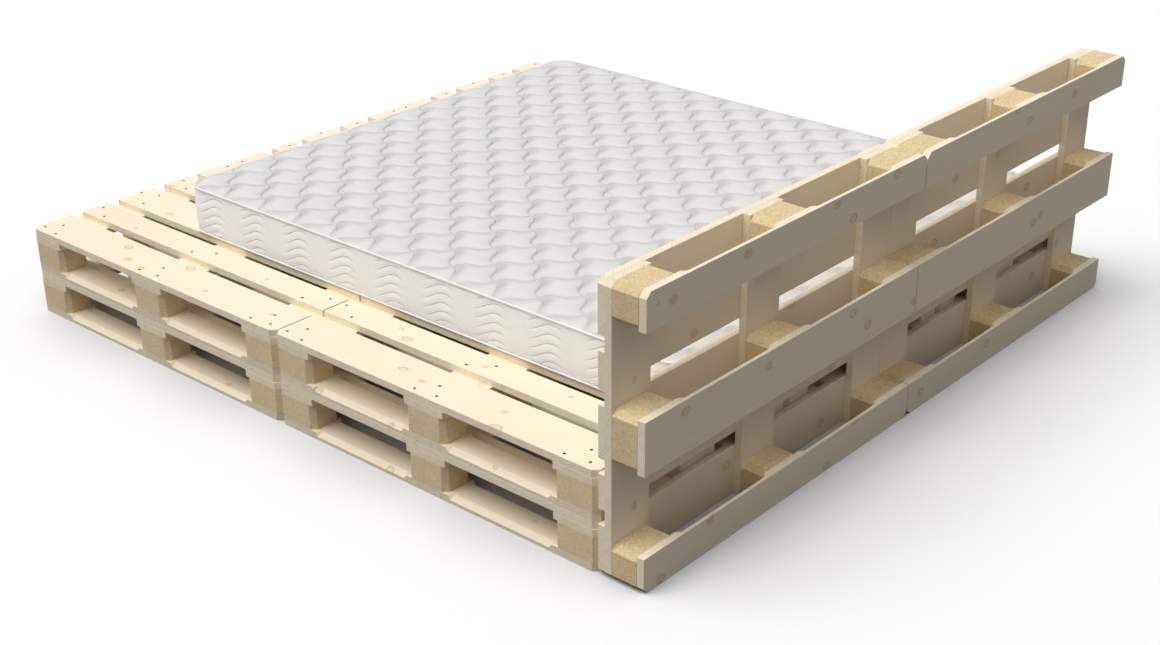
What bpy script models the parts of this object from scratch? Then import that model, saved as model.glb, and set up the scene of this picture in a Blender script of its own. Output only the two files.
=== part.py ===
"""Pallet bed: flat timber pallets stacked two high as a base, more pallets on edge as a headboard,
and a quilted foam mattress that lies on the base.

Lengths are in metres. +Z is up, the foot end is at -Y and the headboard at +Y. The origin is on the
ground under the middle of the whole bed.
"""

import math

import bmesh
import bpy
from mathutils import Euler, Vector

# Pallet
PALLET_LENGTH = 1.200
PALLET_WIDTH = 0.800
DECK_THICK = 0.022
STRINGER_THICK = 0.022
BOTTOM_THICK = 0.022
BLOCK_HEIGHT = 0.078
OUTER_DECK_WIDTH = 0.145
INNER_DECK_WIDTH = 0.100
CENTRE_DECK_WIDTH = 0.145
STRINGER_WIDTH = 0.145
OUTER_RUNNER_WIDTH = 0.100
CENTRE_RUNNER_WIDTH = 0.145
PALLET_CORNER_CUT = 0.016
BLOCK_EDGE_CUT = 0.020
BEVEL_ACROSS = 0.016
BEVEL_DEEP = 0.012
BEVEL_STOP = 0.005
BEVEL_RUN_OUT = 0.012

# How the pallets stand
BASE_COLUMNS = 3
BASE_ROWS = 2
BASE_LAYERS = 2
HEAD_PALLETS = 2
PALLET_GAP = 0.0006

# Mattress
MATTRESS_LENGTH = 2.000
MATTRESS_WIDTH = 1.800
MATTRESS_CORNER_RADIUS = 0.070
MATTRESS_SIDE_SHIFT = -0.020
MATTRESS_HEAD_GAP = 0.004
BORDER_HEIGHT = 0.140
BORDER_THICK = 0.012
BORDER_DRAW_IN = 0.004
TOP_PANEL_THICK = 0.008
BOTTOM_PANEL_THICK = 0.008
QUILT_RISE = 0.009
CROWN_RISE = 0.006
QUILT_CELLS_ALONG = 12
QUILT_CELLS_ACROSS = 11
CORNER_STEPS = 5

# Fits and cuts
SEAT_GAP = 0.0003
CUT_OVERRUN = 0.002
FLAT_ANGLE = math.radians(1)

# Sizes that follow from those above
PALLET_HEIGHT = BOTTOM_THICK + BLOCK_HEIGHT + SEAT_GAP + STRINGER_THICK + DECK_THICK
DECK_TOP = BASE_LAYERS * PALLET_HEIGHT + (BASE_LAYERS - 1) * SEAT_GAP
BASE_LENGTH = BASE_ROWS * PALLET_LENGTH + (BASE_ROWS - 1) * PALLET_GAP
BED_LENGTH = BASE_LENGTH + PALLET_GAP + PALLET_HEIGHT
FOOT_Y = -BED_LENGTH / 2
HEADBOARD_FACE_Y = FOOT_Y + BASE_LENGTH + PALLET_GAP
HEADBOARD_BACK_Y = HEADBOARD_FACE_Y + PALLET_HEIGHT

TIMBER = ("pallet_timber", (0.84, 0.72, 0.52, 1.0), 0.75)
COVER = ("quilted_cover", (0.86, 0.86, 0.85, 1.0), 0.85)
FOAM = ("mattress_foam", (0.90, 0.87, 0.78, 1.0), 0.95)


def clear_scene():
    """Remove whatever the scene holds."""
    for obj in list(bpy.data.objects):
        bpy.data.objects.remove(obj, do_unlink=True)


def make_material(finish):
    """A plain material from a name, a colour and a roughness."""
    name, colour, roughness = finish
    material = bpy.data.materials.new(name)
    material.use_nodes = True
    shader = material.node_tree.nodes["Principled BSDF"]
    shader.inputs["Base Color"].default_value = colour
    shader.inputs["Roughness"].default_value = roughness
    shader.inputs["Metallic"].default_value = 0.0
    material.diffuse_color = colour
    return material


def to_mesh(bm, name):
    """Turn an edit mesh into a mesh, with its faces pointing out."""
    bmesh.ops.recalc_face_normals(bm, faces=bm.faces)
    mesh = bpy.data.meshes.new(name)
    bm.to_mesh(mesh)
    bm.free()
    return mesh


def place(name, mesh, material, parent=None, location=(0, 0, 0), turn=0.0):
    """One named piece, turned about Z and moved, under its parent."""
    obj = bpy.data.objects.new(name, mesh)
    bpy.context.collection.objects.link(obj)
    obj.parent = parent
    obj.location = location
    obj.rotation_euler = (0, 0, turn)
    if not mesh.materials:
        mesh.materials.append(material)
    return obj


def cutter(name, bm):
    """A hidden solid that shapes another by a Boolean."""
    obj = bpy.data.objects.new(name, to_mesh(bm, name))
    bpy.context.collection.objects.link(obj)
    obj.hide_render = True
    obj.display_type = "WIRE"
    return obj


def add_boolean(obj, tool, operation):
    """Cut obj with tool, or keep only what the two share."""
    modifier = obj.modifiers.new(tool.name, "BOOLEAN")
    modifier.object = tool
    modifier.operation = operation
    modifier.solver = "EXACT"


def cut_mesh(bm, cuts, name):
    """The solid bm less the solids in cuts, as a mesh that repeated pieces share."""
    tool = cutter(name + "_cuts", cuts)
    obj = bpy.data.objects.new(name, to_mesh(bm, name))
    bpy.context.collection.objects.link(obj)
    add_boolean(obj, tool, "DIFFERENCE")
    bpy.context.view_layer.update()
    shaped = obj.evaluated_get(bpy.context.evaluated_depsgraph_get())
    result = bpy.data.meshes.new_from_object(shaped)
    result.name = name
    bpy.data.objects.remove(obj, do_unlink=True)
    bpy.data.objects.remove(tool, do_unlink=True)
    return result


def loft(bm, sections):
    """A closed solid through sections of equal point count."""
    rings = [[bm.verts.new(point) for point in section] for section in sections]
    for below, above in zip(rings, rings[1:]):
        for i, vert in enumerate(below):
            j = (i + 1) % len(below)
            bm.faces.new((vert, below[j], above[j], above[i]))
    bm.faces.new(reversed(rings[0]))
    bm.faces.new(rings[-1])


def lattice_solid(planes, filled):
    """A solid of the box cells between three sets of planes for which filled(i, j, k) holds."""
    bm = bmesh.new()
    verts = {}

    def vert(corner):
        if corner not in verts:
            verts[corner] = bm.verts.new([planes[axis][corner[axis]] for axis in range(3)])
        return verts[corner]

    counts = [len(cuts) - 1 for cuts in planes]

    def solid(cell):
        return all(0 <= cell[axis] < counts[axis] for axis in range(3)) and filled(*cell)

    cells = [(i, j, k) for i in range(counts[0]) for j in range(counts[1]) for k in range(counts[2])]
    for cell in filter(solid, cells):
        for axis in range(3):
            across, up = (axis + 1) % 3, (axis + 2) % 3
            for side in (0, 1):
                beside = list(cell)
                beside[axis] += 2 * side - 1
                if solid(tuple(beside)):
                    continue
                ring = []
                for step_across, step_up in ((0, 0), (1, 0), (1, 1), (0, 1)):
                    corner = list(cell)
                    corner[axis] += side
                    corner[across] += step_across
                    corner[up] += step_up
                    ring.append(vert(tuple(corner)))
                bm.faces.new(ring if side else reversed(ring))
    bmesh.ops.dissolve_limit(bm, angle_limit=FLAT_ANGLE, verts=bm.verts, edges=bm.edges)
    return bm


def stringer_spans():
    """Where the three stringers, and the blocks under them, lie along the pallet."""
    end = PALLET_LENGTH / 2
    return [
        (-end, STRINGER_WIDTH - end),
        (-STRINGER_WIDTH / 2, STRINGER_WIDTH / 2),
        (end - STRINGER_WIDTH, end),
    ]


def deck_spans():
    """Where the five deck boards lie across the pallet, with equal gaps between them."""
    widths = [
        OUTER_DECK_WIDTH,
        INNER_DECK_WIDTH,
        CENTRE_DECK_WIDTH,
        INNER_DECK_WIDTH,
        OUTER_DECK_WIDTH,
    ]
    gap = (PALLET_WIDTH - sum(widths)) / (len(widths) - 1)
    spans, start = [], -PALLET_WIDTH / 2
    for width in widths:
        spans.append((start, start + width))
        start += width + gap
    return spans


def flat_list(spans):
    """The ends of all spans, in order."""
    return [end for span in spans for end in span]


def corner_prism(bm, corner, sides, cut, low, high):
    """A three-sided cutter that takes a corner off, from height low to height high."""
    (u, v), (out_u, out_v) = corner, sides
    over = CUT_OVERRUN
    triangle = [
        (u - out_u * (cut + over), v + out_v * over),
        (u + out_u * over, v - out_v * (cut + over)),
        (u + out_u * over, v + out_v * over),
    ]
    loft(bm, [[(x, y, z) for x, y in triangle] for z in (low, high)])


def deck_mesh():
    """Five deck boards nailed to three stringers, with the pallet's corners cut."""
    top = PALLET_HEIGHT
    underside = top - DECK_THICK - STRINGER_THICK
    planes = (
        flat_list(stringer_spans()),
        flat_list(deck_spans()),
        [underside, top - DECK_THICK, top],
    )

    def filled(i, j, k):
        return j % 2 == 0 if k == 1 else i % 2 == 0

    cuts = bmesh.new()
    for out_u in (-1, 1):
        for out_v in (-1, 1):
            corner = (out_u * PALLET_LENGTH / 2, out_v * PALLET_WIDTH / 2)
            low, high = underside - CUT_OVERRUN, top + CUT_OVERRUN
            corner_prism(cuts, corner, (out_u, out_v), PALLET_CORNER_CUT, low, high)
    return cut_mesh(lattice_solid(planes, filled), cuts, "deck")


def bevel_wedge(bm, start, end, edge_v, out_v):
    """A cutter for the stopped bevel on the upper edge of a bottom board."""
    steep = BEVEL_ACROSS / BEVEL_DEEP
    over = CUT_OVERRUN
    stations = [
        (start, 0.0),
        (start + BEVEL_RUN_OUT, 1.0),
        (end - BEVEL_RUN_OUT, 1.0),
        (end, 0.0),
    ]
    sections = []
    for u, depth_share in stations:
        across, deep = BEVEL_ACROSS * depth_share, BEVEL_DEEP * depth_share
        sections.append([
            (u, edge_v + out_v * over, BOTTOM_THICK - deep - over / steep),
            (u, edge_v - out_v * (across + over * steep), BOTTOM_THICK + over),
            (u, edge_v + out_v * over, BOTTOM_THICK + over),
        ])
    loft(bm, sections)


def runner_mesh(name, width, outer_side):
    """A bottom board with its three blocks. outer_side is +1 or -1 on an outer runner, or 0."""
    top = BOTTOM_THICK + BLOCK_HEIGHT
    half = width / 2
    spans = stringer_spans()
    planes = (flat_list(spans), [-half, half], [0, BOTTOM_THICK, top])
    solid = lattice_solid(planes, lambda i, j, k: k == 0 or i % 2 == 0)
    cuts = bmesh.new()
    for span in spans:
        for u, out_u in zip(span, (-1, 1)):
            for out_v in (-1, 1):
                at_end = abs(u) * 2 > PALLET_LENGTH - SEAT_GAP
                if at_end and out_v == outer_side:
                    low, cut = -CUT_OVERRUN, PALLET_CORNER_CUT
                else:
                    low, cut = BOTTOM_THICK, BLOCK_EDGE_CUT
                corner_prism(cuts, (u, out_v * half), (out_u, out_v), cut, low, top + CUT_OVERRUN)
    for left, right in zip(spans, spans[1:]):
        for out_v in (-1, 1):
            bevel_wedge(cuts, left[1] + BEVEL_STOP, right[0] - BEVEL_STOP, out_v * half, out_v)
    return cut_mesh(solid, cuts, name)


def make_pallets(timber):
    """Every pallet of the bed: an empty that carries a deck and three runners."""
    deck = deck_mesh()
    outer = runner_mesh("runner_outer", OUTER_RUNNER_WIDTH, -1)
    centre = runner_mesh("runner_centre", CENTRE_RUNNER_WIDTH, 0)
    side = (PALLET_WIDTH - OUTER_RUNNER_WIDTH) / 2

    def pallet(name, location, rotation):
        carrier = bpy.data.objects.new(name, None)
        bpy.context.collection.objects.link(carrier)
        carrier.location = location
        carrier.rotation_euler = rotation
        place(name + "_deck", deck, timber, carrier)
        place(name + "_runner_left", outer, timber, carrier, (0, -side, 0))
        place(name + "_runner_centre", centre, timber, carrier)
        place(name + "_runner_right", outer, timber, carrier, (0, side, 0), math.pi)

    column_pitch = PALLET_WIDTH + PALLET_GAP
    row_pitch = PALLET_LENGTH + PALLET_GAP
    for layer in range(BASE_LAYERS):
        for row in range(BASE_ROWS):
            for column in range(BASE_COLUMNS):
                pallet(
                    f"base_layer{layer + 1}_row{row + 1}_col{column + 1}",
                    (
                        (column - (BASE_COLUMNS - 1) / 2) * column_pitch,
                        FOOT_Y + PALLET_LENGTH / 2 + row * row_pitch,
                        layer * (PALLET_HEIGHT + SEAT_GAP),
                    ),
                    Euler((0, 0, math.pi / 2)),
                )
    for i in range(HEAD_PALLETS):
        pallet(
            f"headboard_{i + 1}",
            ((i - (HEAD_PALLETS - 1) / 2) * row_pitch, HEADBOARD_BACK_Y, PALLET_WIDTH / 2),
            Euler((math.pi / 2, 0, 0)),
        )


def rounded_outline(inset, height):
    """The mattress outline in plan, drawn in by inset, at a height."""
    radius = MATTRESS_CORNER_RADIUS - inset
    half_x = MATTRESS_WIDTH / 2 - inset - radius
    half_y = MATTRESS_LENGTH / 2 - inset - radius
    points = []
    for quarter, (side_x, side_y) in enumerate(((1, 1), (-1, 1), (-1, -1), (1, -1))):
        for step in range(CORNER_STEPS + 1):
            angle = (quarter + step / CORNER_STEPS) * math.pi / 2
            x = side_x * half_x + radius * math.cos(angle)
            y = side_y * half_y + radius * math.sin(angle)
            points.append(Vector((x, y, height)))
    return points


def slab(sections):
    """An upright solid through pairs of inset and height."""
    bm = bmesh.new()
    loft(bm, [rounded_outline(inset, height) for inset, height in sections])
    return bm


def border_ring(low, high):
    """The mattress border: a ring, fullest at mid-height and drawn in at both edges."""
    inner = BORDER_DRAW_IN + BORDER_THICK
    middle = (low + high) / 2
    profile = [
        (BORDER_DRAW_IN, low),
        (0, middle),
        (BORDER_DRAW_IN, high),
        (inner, high),
        (inner, low),
    ]
    bm = bmesh.new()
    rings = [[bm.verts.new(p) for p in rounded_outline(inset, z)] for inset, z in profile]
    for k, ring in enumerate(rings):
        other = rings[(k + 1) % len(rings)]
        for i, vert in enumerate(ring):
            j = (i + 1) % len(ring)
            bm.faces.new((vert, ring[j], other[j], other[i]))
    return bm


def quilted_slab(low):
    """The top panel before its corners are rounded: pillows between diagonal quilting channels."""
    across, along = 2 * QUILT_CELLS_ACROSS, 2 * QUILT_CELLS_ALONG
    edge = low + TOP_PANEL_THICK
    half_x = MATTRESS_WIDTH / 2 + CUT_OVERRUN
    half_y = MATTRESS_LENGTH / 2 + CUT_OVERRUN
    bm = bmesh.new()
    grid = []
    for i in range(across + 1):
        share_x = 2 * i / across - 1
        column = []
        for j in range(along + 1):
            share_y = 2 * j / along - 1
            z = edge + CROWN_RISE * (1 - share_x**4) * (1 - share_y**4)
            on_edge = i in (0, across) or j in (0, along)
            if (i + j) % 2 and not on_edge:
                z += QUILT_RISE
            column.append(bm.verts.new((share_x * half_x, share_y * half_y, z)))
        grid.append(column)
    for i in range(across):
        for j in range(along):
            a, b = grid[i][j], grid[i + 1][j]
            c, d = grid[i + 1][j + 1], grid[i][j + 1]
            halves = ((a, b, c), (a, c, d)) if (i + j) % 2 == 0 else ((a, b, d), (b, c, d))
            for half in halves:
                bm.faces.new(half)
    top_rim = [side for side in bm.edges if side.is_boundary]
    walls = bmesh.ops.extrude_edge_only(bm, edges=top_rim)["geom"]
    for item in walls:
        if isinstance(item, bmesh.types.BMVert):
            item.co.z = low
    low_rim = [side for side in bm.edges if side.is_boundary]
    bmesh.ops.contextual_create(bm, geom=low_rim)
    return bm


def make_mattress(cover, foam):
    """The mattress: bottom panel, border, foam core and quilted top panel."""
    carrier = bpy.data.objects.new("mattress", None)
    bpy.context.collection.objects.link(carrier)
    carrier.location = (
        MATTRESS_SIDE_SHIFT,
        HEADBOARD_FACE_Y - MATTRESS_HEAD_GAP - MATTRESS_LENGTH / 2,
        DECK_TOP + SEAT_GAP,
    )
    border_low = BOTTOM_PANEL_THICK + SEAT_GAP
    border_high = border_low + BORDER_HEIGHT
    top_low = border_high + SEAT_GAP
    core_inset = BORDER_DRAW_IN + BORDER_THICK + SEAT_GAP

    bottom = slab([(BORDER_DRAW_IN, 0), (BORDER_DRAW_IN, BOTTOM_PANEL_THICK)])
    place("mattress_bottom_panel", to_mesh(bottom, "mattress_bottom_panel"), cover, carrier)
    ring = border_ring(border_low, border_high)
    place("mattress_border", to_mesh(ring, "mattress_border"), cover, carrier)
    core = slab([(core_inset, border_low), (core_inset, border_high)])
    place("mattress_core", to_mesh(core, "mattress_core"), foam, carrier)
    panel = place(
        "mattress_top_panel",
        to_mesh(quilted_slab(top_low), "mattress_top_panel"),
        cover,
        carrier,
    )
    reach = top_low + TOP_PANEL_THICK + CROWN_RISE + QUILT_RISE + CUT_OVERRUN
    outline = slab([(BORDER_DRAW_IN, top_low - CUT_OVERRUN), (BORDER_DRAW_IN, reach)])
    tool = cutter("mattress_top_outline", outline)
    tool.parent = carrier
    add_boolean(panel, tool, "INTERSECT")


def main():
    """Build the bed."""
    clear_scene()
    make_pallets(make_material(TIMBER))
    make_mattress(make_material(COVER), make_material(FOAM))


main()
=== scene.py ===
"""A pallet bed: flat timber pallets stacked two high as a base, two more stood on edge as a headboard,
and a quilted foam mattress.

Lengths are in metres. The foot end is at -Y, the headboard at +Y and the ground at z = 0.
"""

import logging
import math
import random
from collections.abc import Callable
from dataclasses import dataclass, field
from enum import Enum

import bpy
import numpy as np
from mathutils import Matrix, Vector


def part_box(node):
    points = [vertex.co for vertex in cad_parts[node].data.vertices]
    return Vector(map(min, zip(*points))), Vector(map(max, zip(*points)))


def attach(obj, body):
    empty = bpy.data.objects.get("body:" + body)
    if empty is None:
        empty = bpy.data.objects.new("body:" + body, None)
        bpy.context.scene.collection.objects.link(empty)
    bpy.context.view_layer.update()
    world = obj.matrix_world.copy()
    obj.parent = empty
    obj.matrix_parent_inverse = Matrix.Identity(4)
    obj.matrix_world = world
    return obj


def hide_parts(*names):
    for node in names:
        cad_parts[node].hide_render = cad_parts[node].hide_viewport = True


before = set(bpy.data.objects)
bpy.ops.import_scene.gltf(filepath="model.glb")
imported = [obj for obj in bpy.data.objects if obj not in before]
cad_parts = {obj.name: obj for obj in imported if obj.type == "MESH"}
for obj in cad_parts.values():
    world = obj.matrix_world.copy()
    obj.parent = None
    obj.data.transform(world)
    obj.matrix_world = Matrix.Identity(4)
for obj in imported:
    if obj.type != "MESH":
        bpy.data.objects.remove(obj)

Piece = bpy.types.Object
Socket = bpy.types.NodeSocket

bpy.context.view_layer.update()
PALLET_BODY = "pallets"
MATTRESS_BODY = "mattress"
KNOTS_PER_BOARD = 6
NO_KNOT = (9.0, 9.0, 0.01)
PHOTO_WIDTH = 1160
SENSOR_WIDTH = 36.0
SAME_POINT = 0.00002
ON_PLANE = 0.001
WAVE_HEIGHT = 0.018
WAVE_SPACING = 0.0275
WAVE_TIGHT_AT = 0.13
WAVE_TIGHT_REACH = 0.70

log = logging.getLogger("pallet_bed")


class Pick(Enum):
    """What an edit-mode step chooses."""

    EDGE = "EDGE"
    FACE = "FACE"


class CutFace(Enum):
    """How a face of a board was made at the mill."""

    PLANED = 0.0
    SAWN = 1.0
    END_GRAIN = 2.0


class Stance(Enum):
    """How a pallet stands in the bed."""

    FLAT = "flat"
    ON_EDGE = "on edge"


class Bench:
    """The hand steps that add a primitive and shape it."""

    @staticmethod
    def activate(piece: Piece) -> None:
        """Leave edit mode and select only this piece.

        Args:
            piece: The object to work on.
        """
        active = bpy.context.view_layer.objects.active
        if active is not None and active.mode != "OBJECT":
            bpy.ops.object.mode_set(mode="OBJECT")
        bpy.ops.object.select_all(action="DESELECT")
        piece.select_set(True)
        bpy.context.view_layer.objects.active = piece

    @staticmethod
    def box(name: str, size: tuple, place: tuple = (0.0, 0.0, 0.0)) -> Piece:
        """Add a block of stock.

        Args:
            name: The piece's name.
            size: Its three side lengths.
            place: Where its middle is.

        Returns:
            The new object, its place in its mesh.
        """
        bpy.ops.object.select_all(action="DESELECT")
        bpy.ops.mesh.primitive_cube_add(size=1.0, location=place, scale=size)
        return Bench.settle(name)

    @staticmethod
    def settle(name: str) -> Piece:
        """Name the primitive just added and put its place into its mesh.

        Args:
            name: The piece's name.

        Returns:
            The object.
        """
        piece = bpy.context.object
        piece.name = name
        piece.data.name = name
        bpy.ops.object.transform_apply(location=True, rotation=True, scale=True)
        return piece

    @staticmethod
    def choose(piece: Piece, kind: Pick, test: Callable) -> None:
        """Enter edit mode with only the chosen edges or faces selected.

        Args:
            piece: The object to work on.
            kind: Edges or faces.
            test: Takes an edge's two ends, or a face's middle and normal, and says whether it is chosen.
        """
        Bench.activate(piece)
        bpy.ops.object.mode_set(mode="EDIT")
        bpy.ops.mesh.select_mode(type=kind.value)
        bpy.ops.mesh.select_all(action="DESELECT")
        bpy.ops.object.mode_set(mode="OBJECT")
        mesh = piece.data
        if kind is Pick.EDGE:
            for edge in mesh.edges:
                edge.select = test(*(mesh.vertices[i].co for i in edge.vertices))
        else:
            for face in mesh.polygons:
                face.select = test(face.center, face.normal)
        bpy.ops.object.mode_set(mode="EDIT")

    @staticmethod
    def bevel(piece: Piece, width: float, steps: int, test: Callable) -> None:
        """Bevel the edges that the test chooses.

        Args:
            piece: The object to work on.
            width: How far the bevel reaches along each face.
            steps: 1 for a flat cut, more for a round.
            test: Takes an edge's two ends.
        """
        Bench.choose(piece, Pick.EDGE, test)
        bpy.ops.mesh.bevel(offset=width, offset_type="OFFSET", segments=steps, affect="EDGES")
        bpy.ops.object.mode_set(mode="OBJECT")

    @staticmethod
    def ease(piece: Piece, width: float, steps: int, over: float) -> None:
        """Take the sharpness off every edge that is steeper than an angle.

        Args:
            piece: The object to work on.
            width: The width of the eased edge.
            steps: How many facets round it off.
            over: The angle, in degrees, from which an edge is eased.
        """
        Bench.activate(piece)
        eased = piece.modifiers.new("eased", "BEVEL")
        eased.width = width
        eased.segments = steps
        eased.limit_method = "ANGLE"
        eased.angle_limit = math.radians(over)
        bpy.ops.object.modifier_apply(modifier=eased.name)

    @staticmethod
    def carve(piece: Piece, tool: Piece) -> None:
        """Cut a tool's shape out of a piece and throw the tool away.

        Args:
            piece: The object to cut.
            tool: The shape to take out of it.
        """
        Bench.activate(piece)
        cut = piece.modifiers.new("cut", "BOOLEAN")
        cut.object = tool
        cut.operation = "DIFFERENCE"
        cut.solver = "EXACT"
        bpy.ops.object.modifier_apply(modifier=cut.name)
        bpy.data.objects.remove(tool, do_unlink=True)

    @staticmethod
    def smooth(piece: Piece, angle: float) -> None:
        """Shade a piece smooth where its faces meet below an angle in degrees."""
        Bench.activate(piece)
        bpy.ops.object.shade_smooth_by_angle(angle=math.radians(angle))

    @staticmethod
    def twin(piece: Piece, name: str, place: Matrix) -> Piece:
        """Copy a modelled piece to another place.

        Args:
            piece: The piece to copy.
            name: The copy's name.
            place: Where it goes; it ends up in the copy's own mesh.

        Returns:
            The copy.
        """
        copy = piece.copy()
        copy.data = piece.data.copy()
        copy.name = name
        copy.data.name = name
        bpy.context.scene.collection.objects.link(copy)
        copy.data.transform(place)
        return copy

    @staticmethod
    def join(name: str, parts: list) -> Piece:
        """Join parts that are nailed or glued together into one piece.

        Args:
            name: The piece's name.
            parts: The objects to join.

        Returns:
            The joined object.
        """
        Bench.activate(parts[0])
        for part in parts:
            part.select_set(True)
        bpy.ops.object.join()
        whole = bpy.context.view_layer.objects.active
        whole.name = name
        whole.data.name = name
        return whole

    @staticmethod
    def wrap(name: str, columns: int, rows: int, place: Callable, marks: dict) -> Piece:
        """Bend a flat grid round into a closed form and join its meeting edges.

        Args:
            name: The piece's name.
            columns: How many faces it has one way.
            rows: How many faces it has the other way.
            place: Takes arrays of column and row numbers and gives an array of points.
            marks: What is kept on its mesh: a name, and what gives the numbers from the same arrays.

        Returns:
            The new object, with its faces pointing out.
        """
        bpy.ops.object.select_all(action="DESELECT")
        bpy.ops.mesh.primitive_grid_add(x_subdivisions=columns, y_subdivisions=rows, size=1.0)
        piece = Bench.settle(name)
        flat = Bench.points(piece)
        column = np.rint((flat[:, 0] + 0.5) * columns)
        row = np.rint((flat[:, 1] + 0.5) * rows)
        Bench.set_points(piece, place(column, row))
        for mark, numbers in marks.items():
            Bench.write(piece, mark, numbers(column, row))
        bpy.ops.object.mode_set(mode="EDIT")
        bpy.ops.mesh.select_all(action="SELECT")
        bpy.ops.mesh.remove_doubles(threshold=SAME_POINT)
        bpy.ops.mesh.normals_make_consistent(inside=False)
        bpy.ops.object.mode_set(mode="OBJECT")
        return piece

    @staticmethod
    def points(piece: Piece) -> np.ndarray:
        """Read all vertex places of a piece.

        Args:
            piece: The object.

        Returns:
            An array with one row each.
        """
        flat = np.empty(len(piece.data.vertices) * 3)
        piece.data.vertices.foreach_get("co", flat)
        return flat.reshape(-1, 3)

    @staticmethod
    def set_points(piece: Piece, places: np.ndarray) -> None:
        """Move all vertices of a piece to the given places."""
        piece.data.vertices.foreach_set("co", np.ascontiguousarray(places, dtype=np.float32).ravel())
        piece.data.update()

    @staticmethod
    def write(piece: Piece, name: str, values: np.ndarray, domain: str = "POINT") -> None:
        """Keep numbers on a mesh for its finish to read.

        Args:
            piece: The object.
            name: The attribute's name.
            values: One number, or three, for each vertex or face.
            domain: POINT or FACE.
        """
        values = np.asarray(values, dtype=np.float32)
        kind, key = ("FLOAT_VECTOR", "vector") if values.ndim == 2 else ("FLOAT", "value")
        kept = piece.data.attributes.get(name) or piece.data.attributes.new(name, kind, domain)
        kept.data.foreach_set(key, values.ravel())

    @staticmethod
    def mark(piece: Piece, name: str, value: float | tuple) -> None:
        """Keep the same number, or the same three, at every vertex of a piece."""
        Bench.write(piece, name, np.full((len(piece.data.vertices), *np.shape(value)), value))


def smooth_step(share: np.ndarray) -> np.ndarray:
    """Ease shares from 0 to 1 in and out."""
    return share * share * (3 - 2 * share)


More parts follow.
